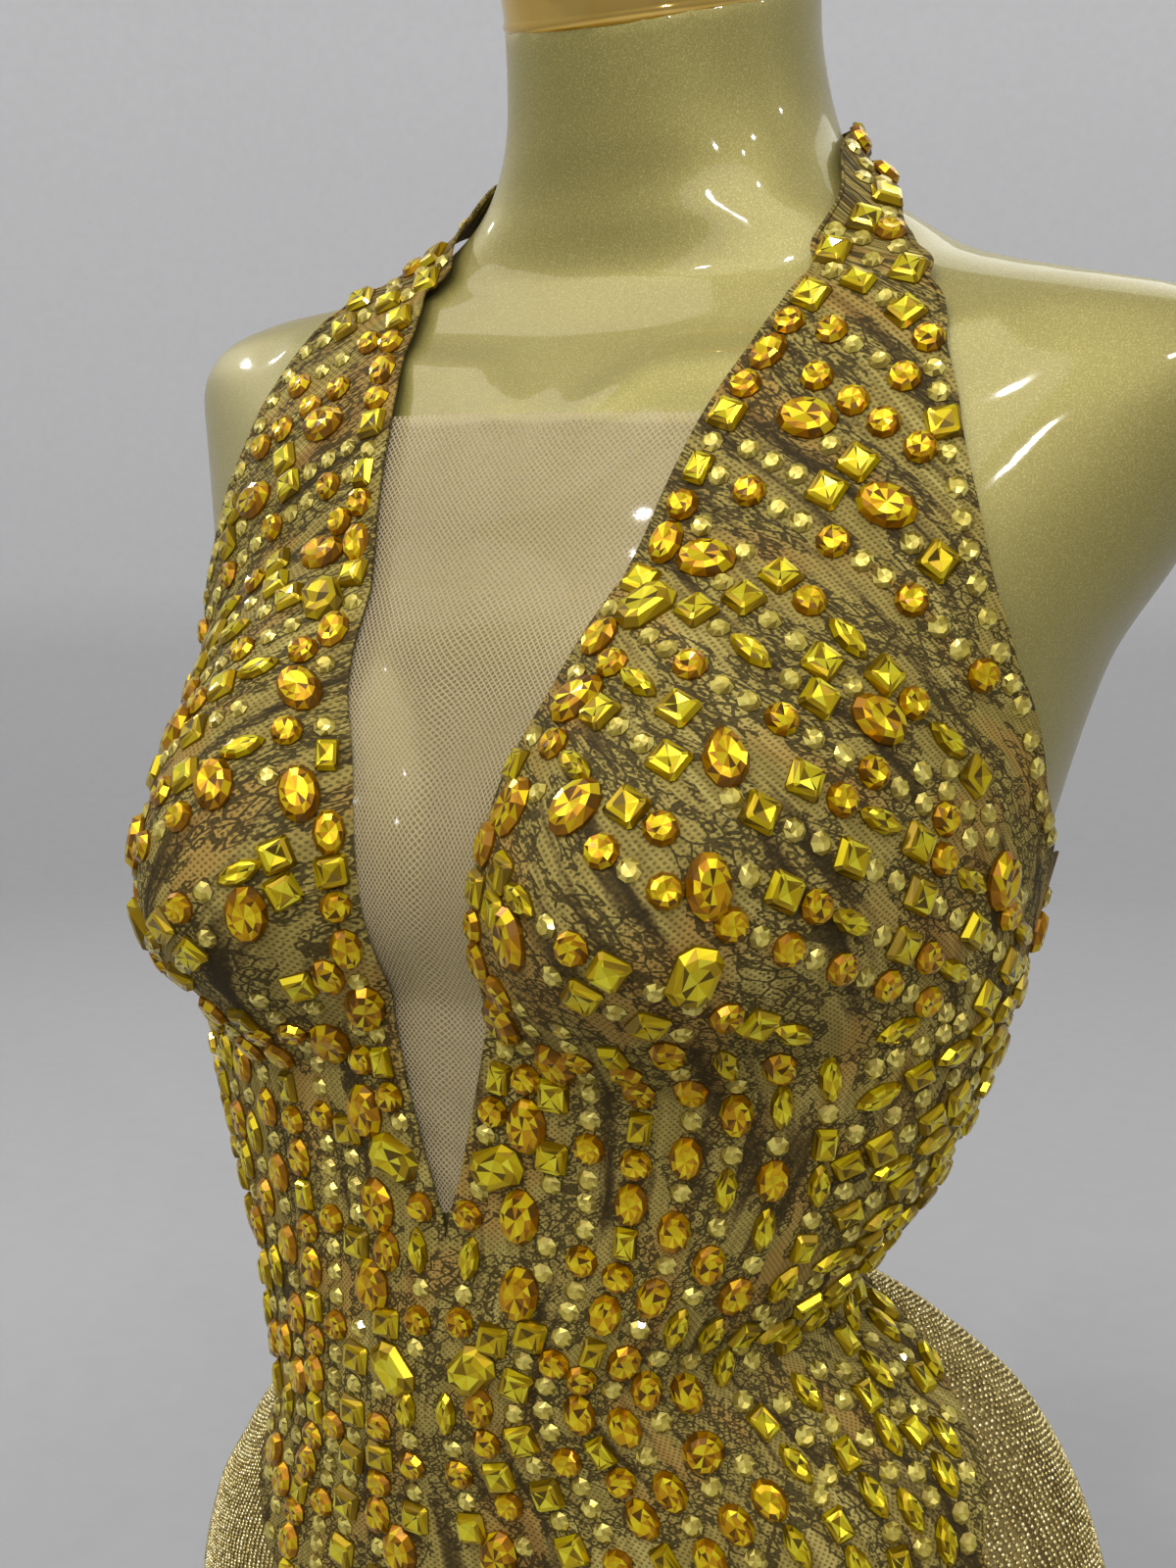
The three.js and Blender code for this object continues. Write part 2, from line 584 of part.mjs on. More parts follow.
addPiece('front_left', setStones(frontHalf(1), [...frontStones, ...nearStones]), printedMesh);
addPiece('front_right', setStones(frontHalf(-1), frontStones.map(otherSide)), printedMesh);
const backLine = (u) => read(backTop, 'share', 'height', u);
const backRows = { lowRows: 4, highRows: 4 };
const backWall = roundPanel(13, backRows, () => WAIST_SEAM, BACK_MIDDLE, backLine);
addPiece('back_panel', setStones(backWall, [...backStones, ...backStones.map(otherSide)]), printedMesh);
const legLine = (u) => read(seatLegs, 'share', 'height', u);
const seatRows = { lowRows: 9, highRows: 5 };
addPiece('seat_panel', roundPanel(28, seatRows, legLine, HIP_LINE, () => WAIST_SEAM), beadedMesh);
addPiece('net_inset', netInset(), nudeNet);
addPiece('gusset', gusset(), printedMesh);
addPiece('form_torso', formBody(), goldPaint);
const cap = addPiece('neck_cap', neckCap(), polishedGold);
cap.position.copy(neckMiddle).addScaledVector(neckUp, CAP_SEAT);
cap.quaternion.setFromUnitVectors(new THREE.Vector3(0, 0, 1), neckUp);
model.position.set(-MIDDLE_X, -MIDDLE_Y, 0);

export default model;
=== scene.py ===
import math
import random
import bpy
import bmesh
from mathutils import Matrix, Vector, noise
from mathutils.bvhtree import BVHTree


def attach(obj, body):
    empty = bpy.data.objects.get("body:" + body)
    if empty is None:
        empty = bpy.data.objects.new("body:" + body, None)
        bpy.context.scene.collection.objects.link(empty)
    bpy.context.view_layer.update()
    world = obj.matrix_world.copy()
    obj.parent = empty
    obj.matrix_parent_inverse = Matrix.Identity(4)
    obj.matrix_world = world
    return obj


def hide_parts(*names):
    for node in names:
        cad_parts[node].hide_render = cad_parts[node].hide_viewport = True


# Rhinestone bodysuit on a torso dress form. Sizes are in mm until a mesh is finished.
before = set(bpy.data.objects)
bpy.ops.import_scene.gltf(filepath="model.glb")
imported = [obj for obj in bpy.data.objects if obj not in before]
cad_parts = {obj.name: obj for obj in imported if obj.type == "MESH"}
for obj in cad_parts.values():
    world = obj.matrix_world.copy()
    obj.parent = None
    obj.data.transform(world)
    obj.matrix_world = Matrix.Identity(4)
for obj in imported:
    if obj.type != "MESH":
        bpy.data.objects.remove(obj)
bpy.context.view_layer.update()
scene = bpy.context.scene
mm = 0.001
scene.view_settings.view_transform = "Standard"
print("frame loaded")


# The form and its cloth, as the solids have them

form = {
    "waist": 330, "middle": (7, 7.15), "neckTop": 470,
    # height, half width, depth to the front and back, middle in x and y, tilt, exponent
    "rings": [
        (-256, 14, 10, 10, 4, 22, 0, 2), (-254, 62, 34, 40, 4, 22, 0, 2),
        (-245, 112, 62, 76, 4, 22, 0.01, 2.1), (-225, 150, 84, 98, 4, 22, 0.02, 2.2),
        (-190, 170, 95, 112, 5, 22, 0.06, 2.2), (-150, 176, 98, 116, 5, 22, 0.13, 2.2),
        (-100, 169, 96, 110, -1, 20, 0.2, 2.2), (-60, 153, 90, 100, -4, 14, 0.25, 2.2),
        (-30, 126, 83, 88, -8, 6, 0.28, 2.2), (0, 101, 78, 76, -9, -4, 0.28, 2.2),
        (25, 108, 76, 74, -4, -7, 0.22, 2.2), (60, 123, 75, 76, -1, -7, 0.14, 2.2),
        (110, 138, 83, 82, 0, -2, 0.08, 2.3), (170, 148, 95, 84, 1, 10, 0.03, 2.4),
        (230, 160, 103, 80, 2, 30, 0, 2.3), (270, 179, 93, 82, 4, 36, -0.02, 2.1),
        (305, 193, 75, 80, 6, 34, -0.03, 1.9), (325, 198, 60, 76, 7, 34, -0.03, 1.9),
        (338, 192, 50, 70, 9, 34, -0.03, 1.9), (347, 170, 46, 63, 11, 35, -0.03, 1.9),
        (353, 132, 44, 58, 13, 36, -0.02, 2), (360, 104, 44, 55, 14, 36, -0.02, 2),
        (368, 88, 46, 54, 14, 37, -0.01, 2), (380, 71.5, 48, 53, 12.5, 38, 0, 2),
        (396, 59.8, 51, 53, 11.8, 37, 0, 2), (412, 54.8, 52, 53, 11.8, 34, 0, 2),
        (436, 52, 53, 53, 12, 29, 0, 2), (470, 52, 53, 53, 12, 27, 0, 2),
    ],
    "cup": {"x": 74, "height": 168, "radius": 64, "above": 1.35, "below": 0.85, "rise": 46, "sharp": 1.3},
    "bridge": 7,  # the stretched cloth's cups are this much wider
    "thigh": {"spread": 92, "middle": (4, 22),
              "rings": [(-330, 60, 72), (-270, 62, 76), (-235, 62, 77), (-205, 56, 70)]},
    "neckCut": {"middle": (12, 29.7, 442.2), "rise": (-0.053, 0.384)},
    # low ridges below the neck, each from one height and angle to another
    "bones": [((309, 5), (322, 10)), ((322, 10), (325, 24)), ((325, 24), (335, 42))],
    "bone": {"rise": 1.9, "width": 6.5},
    "boneHeights": (290, 350), "boneAngle": 60,
    "mesh": {"rise": 3.5, "count": 207, "points": 144, "thighPoints": 64, "intoCap": 5},
    "voxel": 3.2, "soften": 0.5, "softenTimes": 4,
}


def smoothSlope(rows, column, i):
    if i == 0 or i == len(rows) - 1:
        return 0
    before, after = rows[i][0] - rows[i - 1][0], rows[i + 1][0] - rows[i][0]
    rising = (rows[i][column] - rows[i - 1][column]) / before
    following = (rows[i + 1][column] - rows[i][column]) / after
    if rising * following <= 0:
        return 0
    first, second = 2 * after + before, after + 2 * before
    return (first + second) / (first / rising + second / following)


def readRow(rows, column, place):
    # a smooth curve through a table's column, by its first column
    place = min(max(place, rows[0][0]), rows[-1][0])
    i = 0
    while i < len(rows) - 2 and place > rows[i + 1][0]:
        i += 1
    span = rows[i + 1][0] - rows[i][0]
    t = (place - rows[i][0]) / span
    start, end = smoothSlope(rows, column, i) * span, smoothSlope(rows, column, i + 1) * span
    blend = t * t * (3 - 2 * t)
    bend = start * t * (1 - t) ** 2 - end * t * t * (1 - t)
    return rows[i][column] + (rows[i + 1][column] - rows[i][column]) * blend + bend


lowest = form["rings"][0][0]
ringCache = [[readRow(form["rings"], column, lowest + i) for column in range(1, 8)]
             for i in range(form["neckTop"] - lowest + 1)]


def ringAt(height):
    place = min(max(height - lowest, 0), len(ringCache) - 1.001)
    i = int(place)
    t = place - i
    return [a + (b - a) * t for a, b in zip(ringCache[i], ringCache[i + 1])]


def cupRise(x, height, wider):
    cup = form["cup"]
    radius = cup["radius"] + wider
    across = (abs(x) - cup["x"]) / radius
    reach = radius * (cup["above"] if height > cup["height"] else cup["below"])
    away = min(math.hypot(across, (height - cup["height"]) / reach), 1)
    return cup["rise"] * max(math.cos(away * math.pi / 2), 0) ** cup["sharp"]


def skinPoint(height, angle, wider=0, flatRise=None):
    half, front, back, x0, y0, tilt, square = ringAt(height)
    turn = math.radians(angle)
    across, facing = math.sin(turn), math.cos(turn)
    x = half * math.copysign(abs(across) ** (2 / square), across)
    depth = front if facing > 0 else back
    y = -depth * math.copysign(abs(facing) ** (2 / square), facing)
    if facing > 0:
        y -= cupRise(x, height, wider) if flatRise is None else flatRise
    return Vector((x0 + x - form["middle"][0], y0 + y - form["middle"][1], form["waist"] + height + tilt * x))


def skinNormal(height, angle, wider=None, flatRise=None):
    wider = form["bridge"] if wider is None else wider
    low, high = max(height - 1.5, lowest), min(height + 1.5, form["neckTop"])
    across = skinPoint(height, angle + 1.5, wider, flatRise) - skinPoint(height, angle - 1.5, wider, flatRise)
    up = skinPoint(high, angle, wider, flatRise) - skinPoint(low, angle, wider, flatRise)
    return across.cross(up).normalized()


def liftedPoint(height, angle, lift, flatRise=None):
    normal = skinNormal(height, angle, None, flatRise)
    return skinPoint(height, angle, form["bridge"], flatRise) + normal * lift


def degreesFor(distance, height, angle):
    step = -0.2 if angle > 0 else 0.2
    return distance * 0.2 / (skinPoint(height, angle) - skinPoint(height, angle + step)).length


# Small helpers

def newObject(name, bm, material, smooth=True):
    mesh = bpy.data.meshes.new(name)
    for face in bm.faces:
        face.smooth = smooth
    bm.to_mesh(mesh)
    bm.free()
    mesh.materials.append(material)
    piece = bpy.data.objects.new(name, mesh)
    scene.collection.objects.link(piece)
    return piece


def addMesh(name, bm, finish, bodyNodes=(), smooth=True):
    piece = newObject(name, bm, finishes[finish], smooth)
    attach(piece, "root")
    if bodyNodes:
        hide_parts(*bodyNodes)
    return piece


def gridSheet(columns, rows, place, marks=None):
    # a flat grid laid on the form by place(u, v); marks(u, v) gives its cut and print coordinates
    bm = bmesh.new()
    bmesh.ops.create_grid(bm, x_segments=columns, y_segments=rows, size=0.5)
    cut = bm.loops.layers.uv.new("cut")
    printed = bm.loops.layers.uv.new("print")
    shares = {vert: (vert.co.x + 0.5, vert.co.y + 0.5) for vert in bm.verts}
    for vert, (u, v) in shares.items():
        vert.co = place(u, v) * mm
    if marks:
        marked = {vert: marks(u, v) for vert, (u, v) in shares.items()}
        for face in bm.faces:
            for loop in face.loops:
                cutPlace, printPlace = marked[loop.vert]
                loop[cut].uv = cutPlace
                loop[printed].uv = printPlace
    return bm


def spinProfile(bm, profile, steps):
    # a line of radii and heights, turned once round the Z axis
    verts = [bm.verts.new((radius, 0, height)) for radius, height in profile]
    edges = [bm.edges.new(pair) for pair in zip(verts, verts[1:])]
    bmesh.ops.spin(bm, geom=verts + edges, cent=(0, 0, 0), axis=(0, 0, 1), angle=2 * math.pi,
                   steps=steps, use_merge=True)
    bmesh.ops.remove_doubles(bm, verts=bm.verts, dist=1e-6)
    bmesh.ops.recalc_face_normals(bm, faces=bm.faces)


def newMaterial(name, **settings):
    material = bpy.data.materials.new(name)
    material.use_nodes = True
    tree = material.node_tree
    shader = tree.nodes["Principled BSDF"]
    for key, value in settings.items():
        shader.inputs[key.replace("_", " ")].default_value = value
    return material, tree, shader


def addNode(tree, kind, links=None, **values):
    # values set the node's own fields, links its inputs from sockets or plain numbers
    node = tree.nodes.new(kind)
    for key, value in values.items():
        setattr(node, key, value)
    for key, value in (links or {}).items():
        if isinstance(value, bpy.types.NodeSocket):
            tree.links.new(value, node.inputs[key])
        else:
            node.inputs[key].default_value = value
    return node


def colourRamp(tree, factor, stops):
    ramp = addNode(tree, "ShaderNodeValToRGB", {"Fac": factor})
    elements = ramp.color_ramp.elements
    while len(elements) < len(stops):
        elements.new(0.5)
    for element, (position, colour) in zip(elements, stops):
        element.position = position
        element.color = (*colour, 1)
    return ramp.outputs["Color"]


def mixColour(tree, factor, first, second, blend="MIX"):
    node = addNode(tree, "ShaderNodeMix", data_type="RGBA", blend_type=blend)
    for socket, value in ((node.inputs[0], factor), (node.inputs[6], first), (node.inputs[7], second)):
        if isinstance(value, bpy.types.NodeSocket):
            tree.links.new(value, socket)
        else:
            socket.default_value = value if not isinstance(value, tuple) else (*value, 1)
    return node.outputs[2]


def mathNode(tree, operation, first, second=0.0):
    return addNode(tree, "ShaderNodeMath", {0: first, 1: second}, operation=operation).outputs[0]


def times(tree, first, second):
    return mathNode(tree, "MULTIPLY", first, second)


def below(tree, value, limit):
    return mathNode(tree, "LESS_THAN", value, limit)


def vectorNode(tree, operation, first, second):
    return addNode(tree, "ShaderNodeVectorMath", {0: first, 1: second}, operation=operation).outputs[0]


def objectPlace(tree):
    return addNode(tree, "ShaderNodeTexCoord").outputs["Object"]


def mapped(tree, vector, scale, turn=0):
    links = {"Vector": vector, "Rotation": (0, 0, turn), "Scale": scale}
    return addNode(tree, "ShaderNodeMapping", links).outputs[0]


def uvPlace(tree, layer, scale, turn=0):
    uv = addNode(tree, "ShaderNodeUVMap", uv_map=layer)
    return mapped(tree, uv.outputs[0], (scale, scale, scale), turn)


def noiseAt(tree, vector, scale, detail=2, output="Fac"):
    links = {"Vector": vector, "Scale": scale, "Detail": detail}
    return addNode(tree, "ShaderNodeTexNoise", links).outputs[output]


def cellsAt(tree, vector, scale, loose=1.0, feature="F1"):
    # the distance from a cell's middle, or from its edge
    links = {"Vector": vector, "Scale": scale, "Randomness": loose}
    return addNode(tree, "ShaderNodeTexVoronoi", links, feature=feature).outputs["Distance"]


def tint(tree, shader, colour):
    tree.links.new(colour, shader.inputs["Base Color"])


def addBump(tree, shader, height, distance, strength=1.0):
    bump = addNode(tree, "ShaderNodeBump", {"Height": height, "Distance": distance, "Strength": strength})
    tree.links.new(bump.outputs[0], shader.inputs["Normal"])


# Finishes

goldPaint = {
    "shader": {"Metallic": 0.5, "Roughness": 0.5, "Coat_Weight": 0.6, "Coat_Roughness": 0.05},
    "cloud": 9, "base": [(0.3, (0.233, 0.198, 0.048)), (0.7, (0.28, 0.238, 0.062))],
    "flake": 2000, "flakes": [(0.35, (0.177, 0.146, 0.034)), (0.55, (0.28, 0.238, 0.062)),
                              (0.75, (0.54, 0.485, 0.2))],
    "flakeShare": 0.35, "grain": 0.0001, "grainStrength": 0.22,
}


def paintedGold():
    s = goldPaint
    material, tree, shader = newMaterial("paintedGold", **s["shader"])
    place = objectPlace(tree)
    flakes = noiseAt(tree, place, s["flake"], 1)
    base = colourRamp(tree, noiseAt(tree, place, s["cloud"], 2), s["base"])
    sparkle = colourRamp(tree, flakes, s["flakes"])
    tint(tree, shader, mixColour(tree, s["flakeShare"], base, sparkle))
    addBump(tree, shader, flakes, s["grain"], s["grainStrength"])
    return material


capGold = {"smear": 60, "tones": [(0.3, (0.7, 0.45, 0.1)), (0.7, (0.8, 0.56, 0.16))],
           "grain": 0.0004, "grainStrength": 0.15}


def polishedGold():
    material, tree, shader = newMaterial("polishedGold", Metallic=1, Roughness=0.09)
    place = objectPlace(tree)
    smears = noiseAt(tree, place, capGold["smear"], 3)
    tint(tree, shader, colourRamp(tree, smears, capGold["tones"]))
    addBump(tree, shader, smears, capGold["grain"], capGold["grainStrength"])
    return material


printSettings = {
    "warp": 22, "bend": 14, "streaks": (0.12, 0.014, 1), "grain": 0.9, "grainShare": 0.16,
    "bands": [(0.31, (0.03, 0.02, 0.005)), (0.38, (0.07, 0.047, 0.011)), (0.43, (0.165, 0.12, 0.032)),
              (0.48, (0.29, 0.225, 0.056)), (0.57, (0.2, 0.15, 0.034)), (0.66, (0.35, 0.28, 0.078))],
    "patches": (0.05, 0.025, 1), "patchStops": [(0.53, (0, 0, 0)), (0.62, (0.6, 0.6, 0.6))],
    "rust": (0.31, 0.175, 0.038),
    "cells": 0.3, "line": 0.07, "rings": 0.32, "ring": 0.34, "ringLine": 0.085, "dots": 0.75, "dot": 0.28,
    "lace": (0.026, 0.017, 0.004), "laceAt": (0.09, 0.05, 1), "laceFrom": 0.46, "laceShare": 0.85,
    "mesh": 0.8, "meshTurn": 0.785, "meshLoose": 0.08, "hole": 0.3, "holeShare": 0.6,
    # the dark hole tone below is painted shade in the mesh's openings
    "holeShade": (0.03, 0.02, 0.005), "relief": 0.0004, "reliefStrength": 0.5,
}


def overMesh(tree, place, s, colours):
    # the mesh's holes, painted dark as painted shade in the openings, over the colours, and the distance from
    # a hole's middle
    holes = cellsAt(tree, place, s["mesh"], s["meshLoose"])
    hole = times(tree, below(tree, holes, s["hole"]), s["holeShare"])
    return mixColour(tree, hole, colours, s["holeShade"]), holes


def printedCloth():
    s = printSettings
    material, tree, shader = newMaterial("printedCloth", Roughness=0.7, Specular_IOR_Level=0.12)
    flow = uvPlace(tree, "print", 1000)
    warp = noiseAt(tree, uvPlace(tree, "print", s["warp"]), 1.0, 2, "Color")
    shifted = vectorNode(tree, "MULTIPLY", warp, (s["bend"], s["bend"], 0))
    bent = vectorNode(tree, "ADD", flow, shifted)
    grain = mathNode(tree, "SUBTRACT", noiseAt(tree, flow, s["grain"], 2), 0.5)
    grain = times(tree, grain, s["grainShare"])
    bands = mathNode(tree, "ADD", noiseAt(tree, mapped(tree, bent, s["streaks"]), 1.0, 3), grain)
    colours = colourRamp(tree, bands, s["bands"])
    patches = noiseAt(tree, mapped(tree, bent, s["patches"]), 1.0, 1)
    colours = mixColour(tree, colourRamp(tree, patches, s["patchStops"]), colours, s["rust"])
    # dark lace-like scrolls: cell outlines, rings and dots, in patches
    edges = cellsAt(tree, bent, s["cells"], feature="DISTANCE_TO_EDGE")
    line = below(tree, edges, s["line"])
    fromRing = mathNode(tree, "SUBTRACT", cellsAt(tree, bent, s["rings"]), s["ring"])
    ringLine = below(tree, mathNode(tree, "ABSOLUTE", fromRing), s["ringLine"])
    dots = below(tree, cellsAt(tree, flow, s["dots"]), s["dot"])
    lace = mathNode(tree, "MAXIMUM", mathNode(tree, "MAXIMUM", line, ringLine), dots)
    where = noiseAt(tree, mapped(tree, bent, s["laceAt"]), 1.0, 2)
    laceMask = times(tree, lace, mathNode(tree, "GREATER_THAN", where, s["laceFrom"]))
    colours = mixColour(tree, times(tree, laceMask, s["laceShare"]), colours, s["lace"])
    colours, holes = overMesh(tree, uvPlace(tree, "cut", 1000, s["meshTurn"]), s, colours)
    tint(tree, shader, colours)
    addBump(tree, shader, holes, s["relief"], s["reliefStrength"])
    return material


netSettings = {
    "mesh": 0.7, "turn": 0.785, "loose": 0.06, "thread": 0.12, "threadCover": 0.52, "filmCover": 0.05,
    "cloud": 0.02, "tones": [(0.3, (0.45, 0.355, 0.215)), (0.7, (0.53, 0.425, 0.265))],
}


def nudeNet():
    s = netSettings
    material, tree, shader = newMaterial("nudeNet", Roughness=0.6, Specular_IOR_Level=0.2)
    place = uvPlace(tree, "cut", 1000, s["turn"])
    edges = cellsAt(tree, place, s["mesh"], s["loose"], "DISTANCE_TO_EDGE")
    thread = below(tree, edges, s["thread"])
    alpha = mathNode(tree, "ADD", times(tree, thread, s["threadCover"]), s["filmCover"])
    tree.links.new(alpha, shader.inputs["Alpha"])
    tint(tree, shader, colourRamp(tree, noiseAt(tree, place, s["cloud"], 2), s["tones"]))
    return material


def facetGlass(name, tones, roughness, metallic):
    # foil-backed glass: the tones in the facet attribute are painted light per facet, painted shade on dark
    # facets and painted reflections and glints on bright ones, turned into lit and shaded glass colours by
    # the ramp
    material, tree, shader = newMaterial(
        name, Metallic=metallic, Roughness=roughness, Specular_IOR_Level=0.25,
        Coat_Weight=0.16, Coat_Roughness=0.03)
    facetLight = addNode(tree, "ShaderNodeAttribute", attribute_name="facetLight")
    tint(tree, shader, colourRamp(tree, facetLight.outputs["Fac"], tones))
    return material


beadedSettings = {
    "cloud": (0.05, 0.02, 1),
    "tones": [(0.35, (0.085, 0.058, 0.018)), (0.5, (0.16, 0.115, 0.036)), (0.65, (0.24, 0.18, 0.062))],
    # the dark hole tone here is painted shade in the mesh's openings
    "mesh": 1.05, "meshLoose": 0.12, "hole": 0.27, "holeShare": 0.5, "holeShade": (0.03, 0.02, 0.01),
    "seeds": 0.62, "seedLoose": 0.45, "seed": 0.34, "seedShare": 0.85, "glint": 0.8,
    "glints": [(0.42, (0.22, 0.16, 0.05)), (0.56, (0.4, 0.31, 0.11)), (0.64, (0.85, 0.74, 0.36))],
    "relief": 0.001, "reliefStrength": 0.6,
}


def beadedCloth():
    s = beadedSettings
    material, tree, shader = newMaterial("beadedCloth", Roughness=0.7, Specular_IOR_Level=0.15)
    place = uvPlace(tree, "cut", 1000)
    colours = colourRamp(tree, noiseAt(tree, mapped(tree, place, s["cloud"]), 1.0, 3), s["tones"])
    colours = overMesh(tree, place, s, colours)[0]
    # the smallest beads between the rows
    seeds = cellsAt(tree, place, s["seeds"], s["seedLoose"])
    seed = times(tree, below(tree, seeds, s["seed"]), s["seedShare"])
    glints = colourRamp(tree, noiseAt(tree, place, s["glint"], 1), s["glints"])
    tint(tree, shader, mixColour(tree, seed, colours, glints))
    addBump(tree, shader, times(tree, seeds, -1), s["relief"], s["reliefStrength"])
    return material


def goldBeads():
    material, tree, shader = newMaterial("goldBeads", Metallic=0.85, Roughness=0.24, Coat_Weight=0.5)
    place = objectPlace(tree)
    tones = [(0.35, (0.28, 0.2, 0.05)), (0.5, (0.58, 0.46, 0.16)), (0.65, (0.95, 0.84, 0.44))]
    tint(tree, shader, colourRamp(tree, noiseAt(tree, place, 420, 1), tones))
    return material


finishes = {
    "form": paintedGold(),
    "cap": polishedGold(),
    "print": printedCloth(),
    "net": nudeNet(),
    "beaded": beadedCloth(),
    "beads": goldBeads(),
    # each glass ramp runs from painted shade through the glass colour to painted highlight; the facets'
    # painted light tones pick from it
    "amber": facetGlass("amberGlass", [
        (0.0, (0.05, 0.022, 0.0003)), (0.2, (0.14, 0.058, 0.0005)), (0.42, (0.32, 0.13, 0.0005)),
        (0.62, (0.46, 0.235, 0.001)), (0.82, (0.56, 0.39, 0.002)), (1.0, (0.66, 0.54, 0.012))], 0.2, 0.6),
    "lemon": facetGlass("lemonGlass", [
        (0.0, (0.05, 0.03, 0.0003)), (0.2, (0.13, 0.08, 0.0008)), (0.42, (0.29, 0.18, 0.001)),
        (0.62, (0.43, 0.3, 0.002)), (0.82, (0.53, 0.42, 0.004)), (1.0, (0.66, 0.6, 0.03))], 0.2, 0.6),
    "pale": facetGlass("paleGlass", [
        (0.0, (0.1, 0.065, 0.007)), (0.35, (0.22, 0.16, 0.022)), (0.65, (0.38, 0.3, 0.046)),
        (1.0, (0.62, 0.53, 0.13))], 0.24, 0.4),
}
print("finishes made")


# The cut

cut = {
    "clearance": 2.6, "outer": 4.4, "wall": 0.7, "seamGap": 0.2,
    "front": [
        (-232, -232, 0, -232, 10), (-205, -205, 0, -205, 18), (-182, -182, 0, -182, 27),
        (-165, -165, 0, -165, 42), (-150, -150, 0, -150, 58), (-140, -140, 0, -140, 69),
        (56, 56, 0, 56, 86), (82, 82, 2, 82, 87), (113, 113, 4, 113, 88), (150, 150, 5.6, 150, 89),
        (172, 172, 6.2, 172, 90), (196, 200, 7.8, 194, 80), (222, 225, 10.8, 216, 71),
        (248, 250, 12.6, 240, 60), (272, 275, 14.8, 263, 50.6), (295, 298, 17.2, 285, 45.4),
        (315, 320, 18.9, 307, 41.3), (335, 340, 21.4, 329, 37.3), (350, 353, 30, 343, 37),
        (364, 364, 44, 352, 45.5), (378, 376, 61, 358.5, 56), (394, 390, 77, 368, 70),
        (412, 399, 97, 377, 92), (434, 404, 118, 381, 116), (460, 407, 148, 384, 148),
        (488, 408, 179.2, 385, 179.4),
    ],
    "seams": [(-182, 69, 27), (-70, 69, 28), (0, 112, 54), (172, 90, 90)],
    "legTop": {"near": -140, "far": -182},
    "underarm": 172, "waistSeam": 0, "backMiddle": 64, "hipLine": -70,
    "backTop": [(0, 172), (0.2, 152), (0.5, 118), (0.8, 152), (1, 172)],
    "legs": [
        (0, -140), (0.08, -138), (0.17, -160), (0.26, -196), (0.33, -222), (0.36, -232), (0.453, -232),
        (0.48, -222), (0.55, -196), (0.66, -160), (0.76, -138), (0.85, -142), (0.93, -162), (1, -182),
    ],
    "netTip": 66, "netTop": 302,
    "gussetHeights": [-232, -239, -245, -250, -253, -254.6, -255.6],
    "gussetWidths": [(0, 30), (0.35, 22), (0.7, 22), (1, 25)],
}

cloth = {
    "hem": 0.35, "hemWide": 6, "stitch": -0.25, "stitchEnd": 7.5,
    "ripple": 0.25, "rippleUp": 26, "rippleRound": 9, "perDegree": 1.9,
}


def addCloth(name, bm, finish, node, thickness=cut["wall"]):
    # a wall on the sheet's inner side, with crisp rims
    piece = addMesh(name, bm, finish, [node])
    wall = piece.modifiers.new("wall", "SOLIDIFY")
    wall.thickness = thickness * mm
    wall.offset = -1
    wall.use_rim = True
    crisp = piece.modifiers.new("crisp", "EDGE_SPLIT")
    crisp.split_angle = math.radians(50)
    return piece


# Creases: soft troughs from one height and angle to another, with depth and width, on both sides
creases = [
    ((-8, 62), (8, 100), 1.1, 5),
    ((-24, 60), (-8, 98), 1.2, 6),
    ((8, 60), (30, 98), 0.9, 5),
    ((-42, 56), (-30, 90), 1.0, 7),
    ((-14, 74), (-50, 68), 1.0, 6),
    ((28, 62), (52, 96), 0.7, 5),
    ((150, 60), (196, 78), 0.7, 8),
    ((60, 16), (120, 20), 0.5, 6),
    ((118, 52), (142, 20), 0.9, 9),
]
creaseShape = {"perDegree": 110 / 57.3, "reach": 2.5, "brim": 0.35, "brimAt": 1.3}


def creaseDepth(height, angle):
    total = 0
    radius = creaseShape["perDegree"]
    for (h0, a0), (h1, a1), depth, width in creases:
        line = Vector((h1 - h0, (a1 - a0) * radius))
        away = Vector((height - h0, (angle - a0) * radius))
        t = min(max(away.dot(line) / line.length_squared, 0), 1)
        distance = (away - line * t).length / width
        if distance < creaseShape["reach"]:
            ends = math.sin(math.pi * (0.12 + 0.76 * t))
            trough = math.exp(-distance * distance * 2)
            brim = creaseShape["brim"] * math.exp(-(distance - creaseShape["brimAt"]) ** 2 * 4)
            total += depth * ends * (trough - brim)
    return total


def seamAngle(side, height):
    seams = cut["seams"]
    i = 0
    while i < len(seams) - 2 and height > seams[i + 1][0]:
        i += 1
    t = min(max((height - seams[i][0]) / (seams[i + 1][0] - seams[i][0]), 0), 1)
    column = 1 if side == "near" else 2
    return seams[i][column] + (seams[i + 1][column] - seams[i][column]) * t


def frontEdges(side, at):
    table = cut["front"]
    innerHeight, innerAngle = readRow(table, 1, at), readRow(table, 2, at)
    outerHeight = readRow(table, 3, at)
    seamed = cut["legTop"][side] < at < cut["underarm"]
    outerAngle = seamAngle(side, at) if seamed else readRow(table, 4, at)
    outerAngle -= degreesFor(cut["seamGap"] / 2, outerHeight, outerAngle)
    return innerHeight, innerAngle, outerHeight, outerAngle


def between(edges, share):
    innerHeight, innerAngle, outerHeight, outerAngle = edges
    return innerHeight + (outerHeight - innerHeight) * share, innerAngle + (outerAngle - innerAngle) * share


